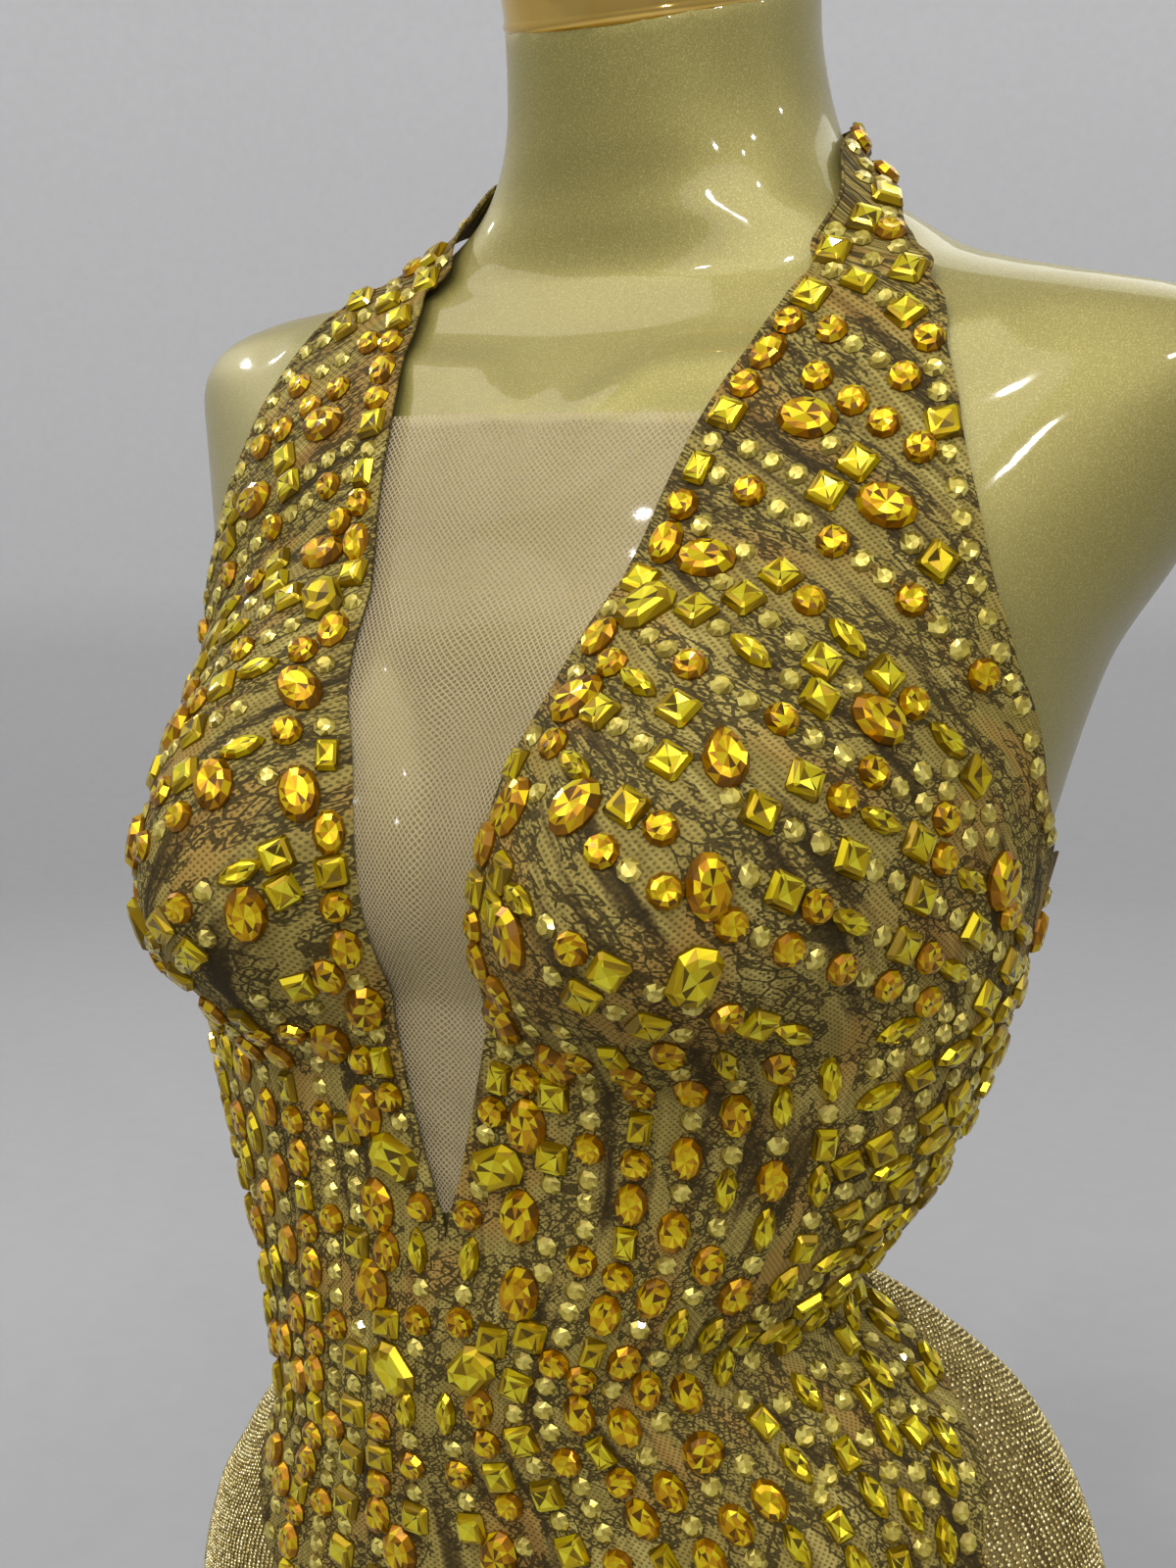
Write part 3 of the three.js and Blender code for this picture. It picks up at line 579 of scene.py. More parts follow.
def clothLift(height, angle, edge=1.0):
    # the cloth's outer face, with its creases, and a turned hem at an edge that is this far in mm
    hem = cloth["hem"] if edge < cloth["hemWide"] else cloth["stitch"] if edge < cloth["stitchEnd"] else 0
    spot = Vector((height / cloth["rippleUp"], angle / cloth["rippleRound"], 0.5))
    ripple = cloth["ripple"] * noise.noise(spot)
    return cut["outer"] - creaseDepth(height, abs(angle)) + hem + ripple


frontPiece = {
    "columns": 84, "rows": 300, "from": -231.6, "to": 488,
    "strapFrom": 400, "strapWidth": 23, "width": 110, "hemFrom": 66,
    "printTurns": (120, 210), "printTurn": 1.1, "cutAt": (0.4, 0.3), "printAt": (0.5, 0.3),
}


def frontHalf(side):
    s = frontPiece
    near = side == "near"
    sign = 1 if near else -1
    rows = s["rows"]
    stations = [s["from"] + (s["to"] - s["from"]) * j / rows for j in range(rows + 1)]
    edges = [frontEdges(side, at) for at in stations]

    def where(u, v):
        share = u if near else 1 - u
        return *between(edges[round(v * rows)], share), share

    def place(u, v):
        height, angle, share = where(u, v)
        at = stations[round(v * rows)]
        width = s["strapWidth"] if at > s["strapFrom"] else s["width"]
        edge = min(share, 1 - share if at > cut["underarm"] else 1) * width if at > s["hemFrom"] else 99
        return liftedPoint(height, sign * angle, clothLift(height, angle, edge))

    def marks(u, v):
        height, angle, share = where(u, v)
        at = stations[round(v * rows)]
        low, high = s["printTurns"]
        slant = max(at - low, 0) ** 2 / (2 * (high - low)) if at < high else (high - low) / 2 + (at - high)
        across, up = sign * angle * cloth["perDegree"] * mm, at * mm
        turned = across + sign * s["printTurn"] * slant * mm
        return (across + s["cutAt"][0], up + s["cutAt"][1]), (turned + s["printAt"][0], up + s["printAt"][1])

    sheet = gridSheet(s["columns"], rows, place, marks)
    name, node = ("frontLeft", "front_left") if near else ("frontRight", "front_right")
    return addCloth(name, sheet, "print", node)


def roundPanel(name, node, columns, rows, lower, middle, upper, finish):
    def where(u, v):
        low, high = lower(u) + cut["seamGap"] / 2, upper(u) - cut["seamGap"] / 2
        below = v <= 0.5
        first, last = (low, middle) if below else (middle, high)
        height = first + (last - first) * (2 * v if below else 2 * v - 1)
        near = seamAngle("near", height)
        far = seamAngle("far", height)
        start = near + degreesFor(cut["seamGap"] / 2, height, near)
        end = 360 - far - degreesFor(cut["seamGap"] / 2, height, far)
        return height, start + (end - start) * u

    def place(u, v):
        height, angle = where(u, v)
        return liftedPoint(height, angle, clothLift(height, 180, 99))

    def marks(u, v):
        height, angle = where(u, v)
        spot = (angle * cloth["perDegree"] * mm, height * mm + 0.3)
        return spot, spot

    return addCloth(name, gridSheet(columns, rows, place, marks), finish, node)


netPiece = {
    "columns": 40, "rows": 120, "thick": 0.15, "under": 2.4, "lean": 4.6, "lift": 0.45,
    "pucker": 0.35, "puckers": 95, "puckerSlant": 6, "puckerEnd": 2.6, "sway": 0.25,
    "flat": (0.1, 0.25), "narrow": 0.15, "cutAt": 0.2,
}


def netInset():
    s = netPiece
    table = cut["front"]

    def place(u, v):
        at = cut["netTip"] + (cut["netTop"] - cut["netTip"]) * v
        height, edge = readRow(table, 1, at), readRow(table, 2, at)
        overhang = max(-skinNormal(height, edge).x, 0) * s["lean"]
        reach = edge + degreesFor(s["under"] - overhang, height, edge)
        edgeX = skinPoint(height, edge).x - skinPoint(height, 0).x
        bridged = cupRise(edgeX, height, form["bridge"])
        pucker = s["pucker"] * math.sin(v * s["puckers"] + s["puckerSlant"] * u)
        pucker *= max(0, 1 - v * s["puckerEnd"])
        tight = pucker + s["sway"] * noise.noise(Vector((u * 5, v * 9, 2)))
        return liftedPoint(height, -reach + 2 * reach * u, cut["clearance"] + s["lift"] + tight, bridged)

    def marks(u, v):
        wide, long = s["flat"]
        spot = ((u - 0.5) * wide * (s["narrow"] + v) + s["cutAt"], v * long + s["cutAt"])
        return spot, spot

    sheet = gridSheet(s["columns"], s["rows"], place, marks)
    return addCloth("netInset", sheet, "net", "net_inset", s["thick"])


gussetPiece = {"columns": 16, "rowsEach": 6, "seam": 0.6, "lift": 1.4, "flat": (0.05, 0.18), "cutAt": 0.2}


def gussetStrip():
    s = gussetPiece
    path = [(h, 180) for h in cut["gussetHeights"]] + [(h, 0) for h in reversed(cut["gussetHeights"])]
    path[0] = (path[0][0] - s["seam"], 180)
    path[-1] = (path[-1][0] - s["seam"], 0)
    last = len(path) - 1

    def place(u, v):
        j = min(int(v * last), last - 1)
        t = v * last - j
        here, there = [liftedPoint(h, a, cut["clearance"] + s["lift"]) for h, a in (path[j], path[j + 1])]
        half = readRow(cut["gussetWidths"], 1, v)
        return here.lerp(there, t) + Vector((-half + 2 * half * u, 0, 0))

    def marks(u, v):
        spot = (u * s["flat"][0] + s["cutAt"], v * s["flat"][1] + s["cutAt"])
        return spot, spot

    sheet = gridSheet(s["columns"], last * s["rowsEach"], place, marks)
    return addCloth("gussetStrip", sheet, "print", "gusset")


frontLeft = frontHalf("near")
frontRight = frontHalf("far")
backPanel = roundPanel("backPanel", "back_panel", 110, 44, lambda u: cut["waistSeam"], cut["backMiddle"],
                       lambda u: readRow(cut["backTop"], 1, u), "print")
seatPanel = roundPanel("seatPanel", "seat_panel", 180, 80, lambda u: readRow(cut["legs"], 1, u),
                       cut["hipLine"], lambda u: cut["waistSeam"], "beaded")
net = netInset()
gusset = gussetStrip()
print("cloth cut and laid")


# Dress form and neck cap

def ringLoop(bm, points):
    loop = [bm.verts.new(point * mm) for point in points]
    return [bm.edges.new((loop[i], loop[(i + 1) % len(loop)])) for i in range(len(loop))]


def loftRings(bm, rings):
    # rings of points bridged in turn and closed at both ends
    loops = [ringLoop(bm, ring) for ring in rings]
    for low, high in zip(loops, loops[1:]):
        bmesh.ops.bridge_loops(bm, edges=low + high)
    for loop in (loops[0], loops[-1]):
        bmesh.ops.contextual_create(bm, geom=loop)


def boneRise(height, angle):
    spot = skinPoint(height, angle)
    nearest = 1e9
    for (h0, a0), (h1, a1) in form["bones"]:
        start, end = skinPoint(h0, a0), skinPoint(h1, a1)
        line = end - start
        t = min(max((spot - start).dot(line) / line.length_squared, 0), 1)
        nearest = min(nearest, (spot - start - line * t).length)
    return form["bone"]["rise"] * math.exp(-(nearest / form["bone"]["width"]) ** 2)


def formPoint(height, angle):
    point = skinPoint(height, angle)
    turned = angle if angle <= 180 else 360 - angle
    low, high = form["boneHeights"]
    if low < height < high and turned < form["boneAngle"]:
        point += skinNormal(height, angle, 0) * boneRise(height, turned)
    return point


def neckPlane():
    x, y, z = form["neckCut"]["middle"]
    riseX, riseY = form["neckCut"]["rise"]
    middle = Vector((x - form["middle"][0], y - form["middle"][1], form["waist"] + z))
    return middle, Vector((-riseX, -riseY, 1)).normalized()


def dressForm():
    s = form["mesh"]
    bm = bmesh.new()
    heights = [lowest + 0.01] + [lowest + 2 + s["rise"] * i for i in range(s["count"])] + [form["neckTop"]]
    step = 360 / s["points"]
    loftRings(bm, [[formPoint(height, step * i) for i in range(s["points"])] for height in heights])
    middle, up = neckPlane()
    sliced = bmesh.ops.bisect_plane(
        bm, geom=bm.verts[:] + bm.edges[:] + bm.faces[:], plane_co=(middle + up * s["intoCap"]) * mm,
        plane_no=up, clear_outer=True)
    rim = [edge for edge in sliced["geom_cut"] if isinstance(edge, bmesh.types.BMEdge)]
    bmesh.ops.contextual_create(bm, geom=rim)
    turns = [2 * math.pi * i / s["thighPoints"] for i in range(s["thighPoints"])]
    thigh = form["thigh"]
    y = thigh["middle"][1] - form["middle"][1]
    for side in (-1, 1):
        x = thigh["middle"][0] + side * thigh["spread"] - form["middle"][0]
        loftRings(bm, [[Vector((x + half * math.sin(t), y - depth * math.cos(t), form["waist"] + height))
                        for t in turns] for height, half, depth in thigh["rings"]])
    bmesh.ops.recalc_face_normals(bm, faces=bm.faces)
    piece = addMesh("dressForm", bm, "form", ["form_torso"])
    shell = piece.modifiers.new("shell", "REMESH")
    shell.mode = "VOXEL"
    shell.voxel_size = form["voxel"] * mm
    shell.use_smooth_shade = True
    soften = piece.modifiers.new("soften", "SMOOTH")
    soften.factor, soften.iterations = form["soften"], form["softenTimes"]


cap = {
    "narrower": 0.965, "seat": 0.3, "steps": 96,
    # radius and height, from the middle of its foot over two beads to the middle of its top
    "profile": [(0, 0), (52.5, 0), (54.2, 0.6), (55, 2.2), (54.4, 3.8), (54.2, 4.6), (54.2, 30),
                (54.5, 31.2), (55, 32.8), (54.4, 34.4), (52, 35.4), (44, 35.8), (0, 36)],
}


def neckCap():
    bm = bmesh.new()
    spinProfile(bm, [(radius * mm, height * mm) for radius, height in cap["profile"]], cap["steps"])
    middle, up = neckPlane()
    seat = Matrix.Translation((middle + up * cap["seat"]) * mm)
    turn = Vector((0, 0, 1)).rotation_difference(up).to_matrix().to_4x4()
    narrow = Matrix.Diagonal((cap["narrower"], 1, 1, 1))
    bmesh.ops.transform(bm, matrix=seat @ turn @ narrow, verts=bm.verts)
    addMesh("neckCap", bm, "cap", ["neck_cap"])


dressForm()
neckCap()
print("form and cap made")


# Stones

stoneColumns = ("long", "wide", "high", "sides", "outline", "finish")  # long is along the row
stoneKinds = {key: dict(zip(stoneColumns, row)) for key, row in {
    "f": (6.8, 6.8, 2.1, 8, "round", "pale"),
    "r": (10, 10, 3.4, 10, "round", "amber"),
    "s": (10, 10, 3.2, 4, "cut", "lemon"),
    "o": (14, 10, 3.4, 10, "round", "amber"),
    "O": (18, 13, 4.2, 12, "round", "amber"),
    "n": (15, 7, 3.2, 10, "pointed", "lemon"),
    "b": (10, 7, 3.2, 4, "cut", "lemon"),
    "P": (18, 13, 4.2, 12, "pear", "amber"),
    "C": (18, 13, 4.2, 4, "corners", "lemon"),
    "R": (13, 13, 4, 12, "round", "amber"),
}.items()}


def stoneOutline(kind):
    points = []
    if kind["outline"] in ("cut", "corners"):
        cutBy = kind["wide"] * (0.27 if kind["outline"] == "corners" else 0.1)
        for sx, sy in ((1, 1), (-1, 1), (-1, -1), (1, -1)):
            side = Vector((sx * kind["wide"] / 2, sy * (kind["long"] / 2 - cutBy), 0))
            end = Vector((sx * (kind["wide"] / 2 - cutBy), sy * kind["long"] / 2, 0))
            points += [side, end] if sx * sy > 0 else [end, side]
        return points
    for i in range(kind["sides"]):
        turn = 2 * math.pi * (i + 0.5 * (kind["outline"] == "round")) / kind["sides"] + math.pi / 2
        x, y = math.cos(turn), math.sin(turn)
        if kind["outline"] == "pointed":
            x *= 0.5 + 0.5 * abs(x)
        if kind["outline"] == "pear":
            x *= 1 - 0.38 * max(y, 0)
        points.append(Vector((x * kind["wide"] / 2, y * kind["long"] / 2, 0)))
    return points


# heights and sizes as shares of the stone's own
facets = {"girdle": 0.3, "crown": 0.86, "table": 0.8, "inner": 0.66, "smallTable": 0.6, "depth": 0.12,
          "smallUnder": 8, "kindsEach": 6}
# painted light per facet part: low values are painted shade, high ones painted reflections and glints
facetLightTones = {
    "girdle": (0.25, 0.35), "crown": (0.18, 0.5, 0.35, 0.66, 0.27, 0.82, 0.42),
    "table": (0.72, 0.35, 0.55, 0.97, 0.45, 0.86, 0.15, 0.65),
    "star": (0.97, 0.6, 0.86, 0.3, 0.92, 0.75, 0.12, 0.85),
}
smallLightTones = {"girdle": (0.1, 0.3), "crown": (0.2, 0.75, 0.45, 0.95, 0.3, 0.6), "star": (0.6, 0.85, 0.7, 1.0)}


def makeStone(kind, phase):
    # girdle, split crown facets and a table that shows the star of the facets behind it as a painted
    # reflection; each facet gets a painted light or shade tone
    small = kind["long"] < facets["smallUnder"]
    tones = smallLightTones if small else facetLightTones
    luck = random.Random(phase * 31 + kind["sides"])
    bm = bmesh.new()
    lightLayer = bm.loops.layers.float_color.new("facetLight")
    top = bm.faces.new([bm.verts.new(point) for point in stoneOutline(kind)])
    top.normal_update()
    if top.normal.z < 0:
        top.normal_flip()

    def paint(faces, part):
        # each face gets a random painted light or shade tone
        for face in faces:
            value = luck.choice(tones[part])
            face.smooth = False
            for loop in face.loops:
                loop[lightLayer] = (value, value, value, 1)

    def grow(face, rise, scale, part):
        before = set(bm.faces)
        moved = bmesh.ops.extrude_discrete_faces(bm, faces=[face])["faces"][0]
        centre = moved.calc_center_median()
        around = Matrix.Translation(-Vector((centre.x, centre.y, 0)))
        bmesh.ops.scale(bm, verts=moved.verts, vec=(scale, scale, 1), space=around)
        bmesh.ops.translate(bm, verts=moved.verts, vec=(0, 0, rise * kind["high"]))
        sides = [other for other in bm.faces if other not in before and other is not moved]
        paint(bmesh.ops.triangulate(bm, faces=sides, quad_method="ALTERNATE")["faces"], part)
        return moved

    top = grow(top, facets["girdle"], 1, "girdle")
    top = grow(top, facets["crown"] - facets["girdle"], facets["smallTable" if small else "table"], "crown")
    if not small:
        top = grow(top, 1 - facets["crown"], facets["inner"], "table")
    star = bmesh.ops.poke(bm, faces=[top])
    for vert in star["verts"]:
        vert.co.z -= kind["high"] * facets["depth"]
    paint(star["faces"], "star")
    mesh = bpy.data.meshes.new("stone")
    bm.to_mesh(mesh)
    bm.free()
    return mesh


stoneMeshes = {(key, phase): makeStone(kind, phase)
               for key, kind in stoneKinds.items() for phase in range(facets["kindsEach"])}

# Large stones of a front half: kind, height, angle, and turn from upright, leaning outwards
largeStones = [
    ("O", 303, 27.5, 100), ("O", 279, 37, 115), ("O", 261, 21, 95), ("C", 247, 17.5, 35), ("O", 218, 46, 125),
    ("O", 222, 15, 40), ("P", 209, 32.5, 0), ("O", 194, 11.5, 5), ("O", 196, 20, 25), ("O", 178, 35, 5),
    ("C", 156, 35, 15), ("O", 163, 15, 0), ("O", 169, 74, 0), ("O", 133, 8, -5), ("O", 121, 14, 5),
    ("O", 97, 10, -5), ("C", 83, 6.5, -65), ("O", 67, 10, -8), ("O", 41, 11.5, -5), ("C", 15, 6.5, -40),
    ("O", -50, 6, -8), ("O", -125, 8, -4),
]
nearStones = [("R", -25, 40.5, 0), ("O", -90, 40, -8)]
backStones = [("O", 112, 122, 0), ("O", 84, 160, 0), ("O", 46, 134, 0)]

# Smaller stones in rows: a line of heights and angles, the pattern that repeats along it, the gap in mm
halterRows = [
    ([(352, 26), (324, 37)], "sfbf", 1.2),
    ([(339, 20), (303, 42)], "ffr", 1.8),
    ([(328, 18.5), (284, 46)], "r", 2.4),
    ([(316, 18), (260, 52)], "ffs", 1.8),
    ([(301, 18), (247, 56)], "sfff", 1.8),
    ([(292, 17), (226, 61)], "ffr", 1.6),
    ([(280, 15), (199, 63)], "srn", 1.6),
    ([(270, 13.5), (184, 70)], "fsf", 1.6),
    ([(260, 13), (172, 76)], "nfsf", 1.6),
    ([(248, 12.5), (160, 83)], "frf", 1.6),
    ([(238, 12), (148, 86)], "srn", 1.4),
    ([(227, 12), (136, 86)], "ffs", 1.4),
    ([(216, 10), (128, 80)], "srnf", 1.2),
    ([(206, 9), (124, 72)], "fr", 1.4),
    ([(184, 8), (132, 46)], "rsnf", 1.2),
    ([(174, 8), (136, 34)], "fs", 1.4),
]
columnRows = [
    ([(190, 8), (150, 7.5), (110, 5.5), (72, 4.2), (40, 3), (-53, 3.5), (-225, 3)], "rfsnf", 1.0),
    ([(150, 10), (110, 9.5), (48, 8.5), (-53, 9.5), (-215, 7.5)], "orsr", 1.0),
    ([(146, 13), (110, 13), (48, 14.5), (-53, 15.5), (-200, 12)], "sf", 1.2),
    ([(140, 18.5), (110, 17.5), (48, 20), (-53, 20.5), (-190, 17)], "ffrf", 1.2),
    ([(134, 23.5), (48, 26), (-53, 26.5), (-180, 23)], "bro", 1.0),
    ([(136, 30), (47, 33), (-54, 32), (-170, 30)], "of", 1.4),
    ([(130, 36), (46, 40), (-54, 37.5), (-160, 37)], "nfof", 1.4),
    ([(126, 42), (44, 48), (-56, 43.5), (-150, 45)], "onf", 1.2),
    ([(122, 49), (42, 57), (-58, 50), (-150, 54)], "nfb", 1.2),
]
sideRows = [
    ([(height, 55), (height + rise, 104)], pattern, 0.9)
    for height, rise, pattern in (
        (124, 30, "nsf"), (112, 31, "f"), (101, 32, "nb"), (90, 32, "fn"), (79, 31, "bsf"), (68, 30, "n"),
        (57, 29, "fb"), (46, 27, "nf"), (36, 25, "bn"), (26, 23, "f"), (16, 20, "nb"), (6, 17, "fn"),
        (-4, 12, "nb"),
    )
]
hipRows = [
    ([(3, 56 + 6.2 * n), (-38, 50 + 4.7 * n), (-75, 47 + 3.7 * n), (-155, 46 + 3.6 * n)],
     ("fbn", "nf", "bnf", "fn", "nfb")[n % 5], 0.8)
    for n in range(1, 10)
]
# Rows along the front half's edges: which edge, from and to along it, inset from it
edgeRows = [(0, 62, 344, 7.5, "rsorbfsro", 0.7), (1, 176, 344, -5, "ffrfs", 1.4)]
backRows = [
    ([(4, angle), (158, angle)], ("sf", "f", "of", "rf")[n % 4], 2.0)
    for n, angle in enumerate(range(62, 181, 6))
]
strapRows = {"from": 352, "to": 484, "step": 9.5, "patterns": ("sfs", "fff", "rsr", "ff"),
             "spread": 0.2, "ends": (0.2, 0.8), "turn": 20}
setting = {"drop": 12, "room": 0.86, "sunk": 0.25, "loose": 0.06, "sample": 1.5}

dice = random.Random(11)


class StoneSetter:
    # sets stones on one panel, each clear of those before it and inside the cut's edge
    def __init__(self, panel):
        self.tree = BVHTree.FromObject(panel, bpy.context.evaluated_depsgraph_get())
        self.meshes = {"amber": bmesh.new(), "lemon": bmesh.new(), "pale": bmesh.new()}
        self.placed = []

    def drop(self, point, normal):
        # where the panel's outer face is below a point, and the face's normal there
        return self.tree.ray_cast((point + normal * setting["drop"]) * mm, -normal, 0.03)[:2]

    def set(self, key, height, angle, turn=0, along=Vector((0, 0, 1))):
        kind = stoneKinds[key]
        guide = skinNormal(height, angle)
        point = liftedPoint(height, angle, cut["outer"])
        hit, normal = self.drop(point, guide)
        if hit is None:
            return False
        size = (kind["long"] + kind["wide"]) / 4 * mm
        if any((hit - other).length < (size + reach) * setting["room"] for other, reach in self.placed):
            return False
        long = (along - guide * along.dot(guide)).normalized()
        if turn:
            long = Matrix.Rotation(-math.copysign(math.radians(turn), angle), 3, guide) @ long
        wide = long.cross(guide).normalized()
        sides = [long * kind["long"] * 0.5, wide * kind["wide"] * 0.5]
        for side in sides + [-side for side in sides]:
            if self.drop(hit / mm + side, guide)[0] is None:
                return False
        self.placed.append((hit, size))
        if normal.dot(guide) < 0:
            normal = -normal
        normal = (normal + guide).normalized()
        wide = long.cross(normal).normalized()
        long = normal.cross(wide).normalized()
        seat = Matrix((wide, long, normal)).transposed().to_4x4()
        spot = Matrix.Translation(hit - normal * setting["sunk"] * mm)
        twist = Matrix.Rotation(dice.uniform(-setting["loose"], setting["loose"]), 4, "Z")
        seat = spot @ seat @ twist @ Matrix.Scale(mm, 4)
        mesh = stoneMeshes[key, dice.randrange(facets["kindsEach"])].copy()
        mesh.transform(seat)
        self.meshes[kind["finish"]].from_mesh(mesh)
        bpy.data.meshes.remove(mesh)
        return True

    def row(self, line, pattern, gap, sign=1):
        # stones one after the other along the line, a flat one where the pattern's own has no room
        spots = []
        for (h0, a0), (h1, a1) in zip(line, line[1:]):
            steps = max(int(math.hypot(h1 - h0, (a1 - a0) * 2) / setting["sample"]), 2)
            spots += [(h0 + (h1 - h0) * i / steps, a0 + (a1 - a0) * i / steps) for i in range(steps)]
        spots.append(line[-1])
        points = [liftedPoint(h, sign * a, cut["outer"]) for h, a in spots]
        travelled, target, turn = 0, stoneKinds[pattern[0]]["long"] / 2, 0
        for i in range(1, len(points)):
            travelled += (points[i] - points[i - 1]).length
            if travelled < target:
                continue
            key = pattern[turn % len(pattern)]
            along = points[i] - points[i - 1]
            if not self.set(key, spots[i][0], sign * spots[i][1], along=along) and key != "f":
                self.set("f", spots[i][0], sign * spots[i][1], along=along)
            turn += 1
            following = pattern[turn % len(pattern)]
            target += (stoneKinds[key]["long"] + stoneKinds[following]["long"]) / 2 + gap

    def finish(self, name):
        for finish, bm in self.meshes.items():
            addMesh(name + finish.capitalize(), bm, finish, smooth=False)
        print(name, len(self.placed), "stones")


def setFront(panel, side):
    sign = 1 if side == "near" else -1
    setter = StoneSetter(panel)
    for key, height, angle, turn in largeStones + (nearStones if side == "near" else []):
        setter.set(key, height, sign * angle, turn)
    for edge, start, end, inset, pattern, gap in edgeRows:
        line = []
        for at in range(start, end, 6):
            height, angle = frontEdges(side, at)[2 * edge:2 * edge + 2]
            line.append((height, angle + degreesFor(inset, height, angle)))
        setter.row(line, pattern, gap, sign)
    for row in halterRows + columnRows + sideRows + hipRows:
        setter.row(*row, sign)
    s = strapRows
    at, n = s["from"], 0
    while at < s["to"]:
        edges = frontEdges(side, at)
        pattern = s["patterns"][n % 4]
        for i, key in enumerate(pattern):
            share = (i + 0.5 + s["spread"] * (i - 1)) / len(pattern)
            share = min(max(share, s["ends"][0]), s["ends"][1])
            height, angle = between(edges, share)
            setter.set(key, height, sign * angle, s["turn"])
        at += s["step"]
        n += 1
    setter.finish("stones" + ("Left" if side == "near" else "Right"))


def setBack(panel):
    setter = StoneSetter(panel)
    for sign in (1, -1):
        for key, height, angle, turn in backStones:
            setter.set(key, height, sign * angle, turn)
    for sign in (1, -1):
        for row in backRows:
            setter.row(*row, sign)
    setter.finish("stonesBack")


setFront(frontLeft, "near")
setFront(frontRight, "far")
setBack(backPanel)


# Fine beads of the hips

fineBeads = {"radius": 0.74, "pitch": 1.52, "rows": 3.1, "wave": 1.4, "waveLength": 55,
             "top": 0, "bottom": -236, "widest": -110, "scatter": 0.35}


def setBeads(panel, name, fromAngle, toAngle):
    # staggered rows that run down the hip, closer where the form narrows
    s = fineBeads
    tree = BVHTree.FromObject(panel, bpy.context.evaluated_depsgraph_get())
    proto = bmesh.new()
    bmesh.ops.create_icosphere(proto, subdivisions=1, radius=s["radius"] * mm)
    mesh = bpy.data.meshes.new("bead")
    for face in proto.faces:
        face.smooth = True
    proto.to_mesh(mesh)
    proto.free()
    bm = bmesh.new()
    angle, row, count = fromAngle, 0, 0
    loose = random.Random(round(fromAngle))
    while angle < toAngle:
        signed = angle if angle < 180 else angle - 360
        height = s["top"] - row % 2 * s["pitch"] / 2
        while height > s["bottom"]:
            wave = s["wave"] * math.sin(height / s["waveLength"] * 2 * math.pi)
            wave += loose.uniform(-1, 1) * s["scatter"]
            turned = angle + degreesFor(wave, s["widest"], signed)
            level = height + loose.uniform(-0.5, 0.5) * s["scatter"]
            normal = skinNormal(level, turned)
            point = liftedPoint(level, turned, cut["outer"])
            hit = tree.ray_cast((point + normal * 8) * mm, -normal, 0.02)[0]
            if hit is not None:
                shift = Matrix.Translation(hit + normal * s["radius"] * 0.6 * mm)
                mesh.transform(shift)
                bm.from_mesh(mesh)
                mesh.transform(shift.inverted())
                count += 1
            height -= s["pitch"]
        angle += degreesFor(s["rows"], s["widest"], signed)
        row += 1
    bpy.data.meshes.remove(mesh)
    addMesh(name, bm, "beads")
    print(name, count, "beads")


setBeads(seatPanel, "beadsLeft", 60, 120)
setBeads(seatPanel, "beadsLeftBack", 120, 180)
setBeads(seatPanel, "beadsRightBack", 180, 250)
setBeads(seatPanel, "beadsRight", 250, 335)


# Studio

studio = {
    "radius": 4.2, "bend": 1.6, "top": 4.2, "steps": 96, "bendSteps": 12, "byHeight": 0.35, "byReach": 0.04,
    # greys that even the light out, from the floor's middle to the wall's top
    "greys": [(0.02, 0.335), (0.035, 0.395), (0.067, 0.43), (0.11, 0.47), (0.277, 0.53), (0.343, 0.63),
              (0.518, 0.71), (0.87, 0.86)],
    "mottle": 40, "mottles": [(0.3, (0.97, 0.97, 0.97)), (0.7, (1, 1, 1))],
    "room": (0.84, 0.84, 0.855, 1), "roomLight": 0.63, "target": (0, 0, 0.5),
    # place, size and power, and a colour that isn't white
    "lights": {
        "ceilingFront": ((0.2, -2.0, 2.2), 2.4, 22),
        "ceilingLeft": ((-1.3, -0.9, 2.3), 1.5, 11.5, (1, 0.97, 0.92)),
        "ceilingBack": ((0.4, 1.5, 2.5), 2.0, 17),
    },
    "sparks": [(1.5, -0.9, 1.7), (0.2, -1.7, 1.5), (-0.5, -1.5, 1.9), (1.1, -2.0, 1.2), (1.9, 0.2, 1.8),
               (-1.8, 0.3, 1.6), (0.7, -1.1, 2.1), (-0.1, -1.0, 2.2), (1.7, -1.9, 2.0)],
    "sparkSize": 0.06, "sparkPower": 4.5,
}


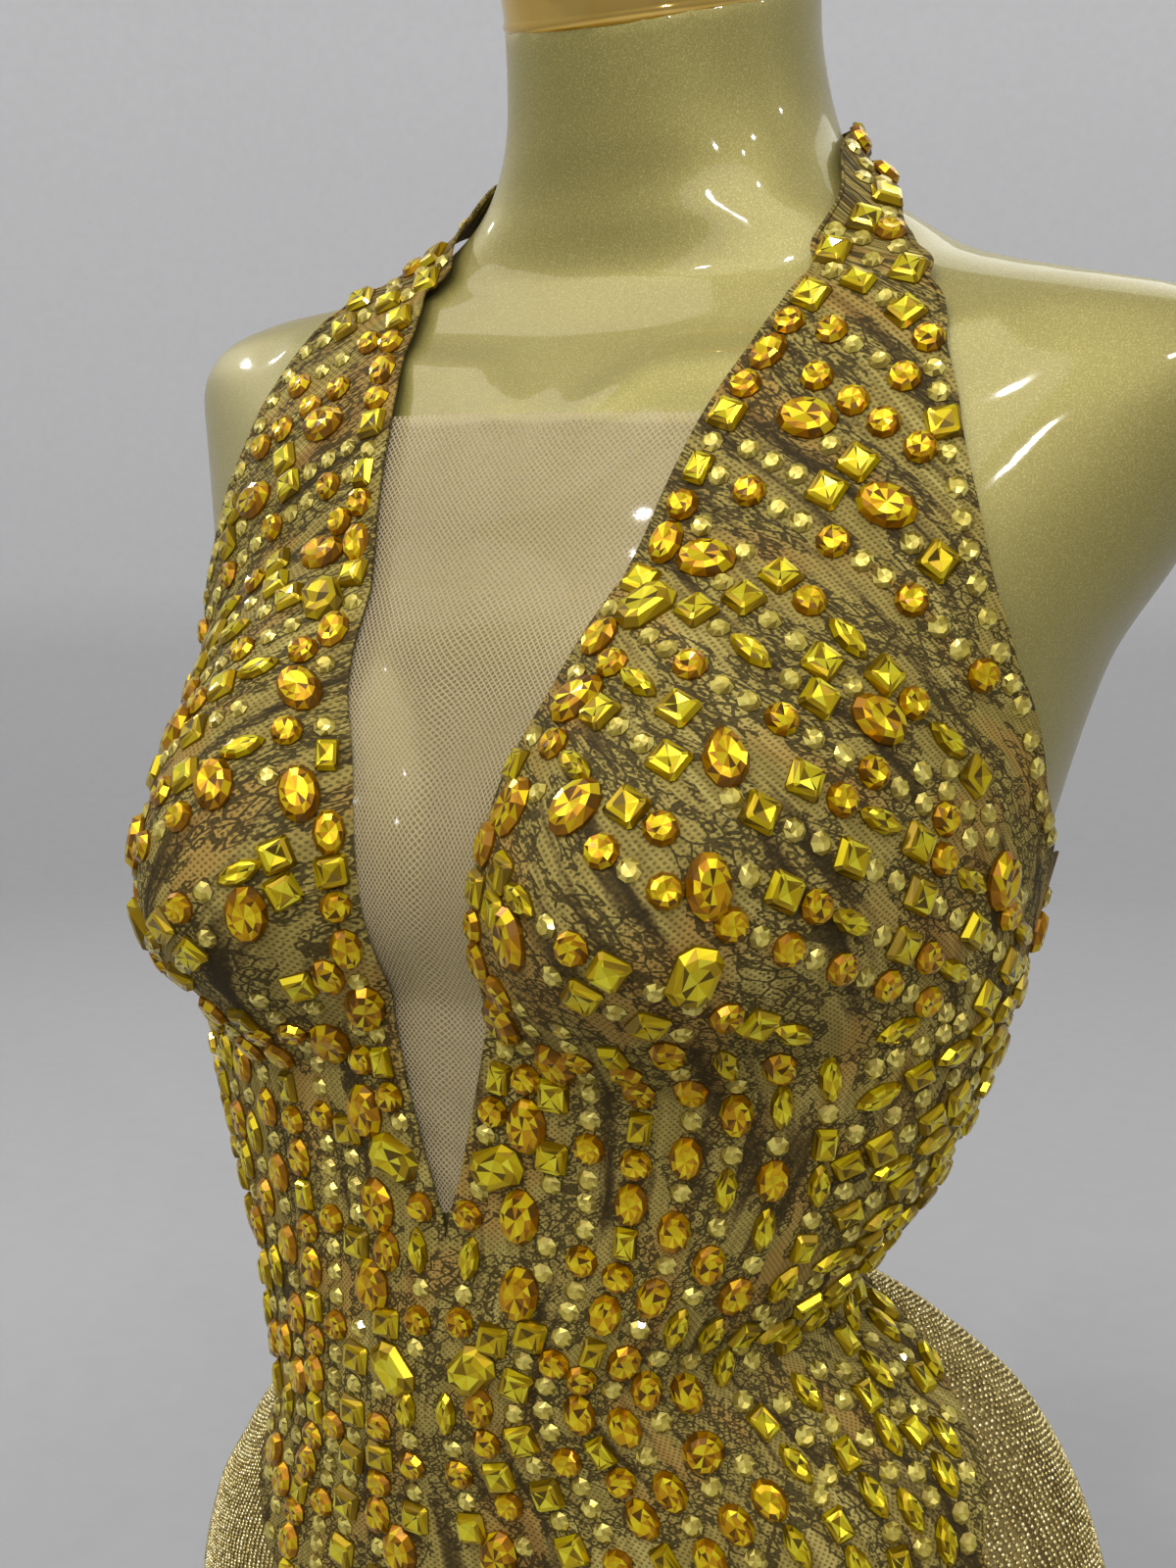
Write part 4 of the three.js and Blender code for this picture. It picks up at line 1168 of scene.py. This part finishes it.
def makeFloor():
    radius, bend, steps = studio["radius"], studio["bend"], studio["bendSteps"]
    profile = [(0.001, 0), (radius - bend, 0)]
    for i in range(1, steps + 1):
        turn = math.pi / 2 * i / steps
        profile.append((radius - bend + bend * math.sin(turn), bend * (1 - math.cos(turn))))
    profile.append((radius, studio["top"]))
    bm = bmesh.new()
    spinProfile(bm, profile, studio["steps"])
    material, tree, shader = newMaterial("paleWall", Roughness=0.9)
    place = objectPlace(tree)
    height = addNode(tree, "ShaderNodeSeparateXYZ", {"Vector": place}).outputs["Z"]
    height = times(tree, height, studio["byHeight"])
    level = vectorNode(tree, "MULTIPLY", place, (1, 1, 0))
    reach = addNode(tree, "ShaderNodeVectorMath", {0: level}, operation="LENGTH").outputs["Value"]
    reach = times(tree, reach, studio["byReach"])
    greys = [(at, (grey, grey - 0.001, grey + 0.004)) for at, grey in studio["greys"]]
    evened = colourRamp(tree, mathNode(tree, "ADD", height, reach), greys)
    mottled = colourRamp(tree, noiseAt(tree, place, studio["mottle"], 2), studio["mottles"])
    tint(tree, shader, mixColour(tree, 1.0, evened, mottled, "MULTIPLY"))
    newObject("studioFloor", bm, material)


def addLight(name, place, size, power, colour=(1, 1, 1)):
    light = bpy.data.lights.new(name, "AREA")
    light.shape = "DISK"
    light.size, light.energy, light.color = size, power, colour
    lamp = bpy.data.objects.new(name, light)
    lamp.location = place
    toTarget = Vector(studio["target"]) - Vector(place)
    lamp.rotation_euler = toTarget.to_track_quat("-Z", "Y").to_euler()
    scene.collection.objects.link(lamp)


makeFloor()
world = bpy.data.worlds.new("softRoom")
world.use_nodes = True
background = world.node_tree.nodes["Background"]
background.inputs["Color"].default_value = studio["room"]
background.inputs["Strength"].default_value = studio["roomLight"]
scene.world = world
for name, settings in studio["lights"].items():
    addLight(name, *settings)
for n, place in enumerate(studio["sparks"]):
    addLight("spark%d" % n, place, studio["sparkSize"], studio["sparkPower"])

camera = {"place": (263.8, -485.85, 592), "azimuth": 29.5, "down": 7.7, "lens": 37.575}
lens = bpy.data.cameras.new("camera")
lens.lens, lens.sensor_width, lens.sensor_fit = camera["lens"], 36, "AUTO"
lens.clip_start, lens.clip_end = 0.01, 50
eye = bpy.data.objects.new("camera", lens)
eye.location = Vector(camera["place"]) * mm
eye.rotation_euler = (math.radians(90 - camera["down"]), 0, math.radians(camera["azimuth"]))
scene.collection.objects.link(eye)
scene.camera = eye
print("studio ready")
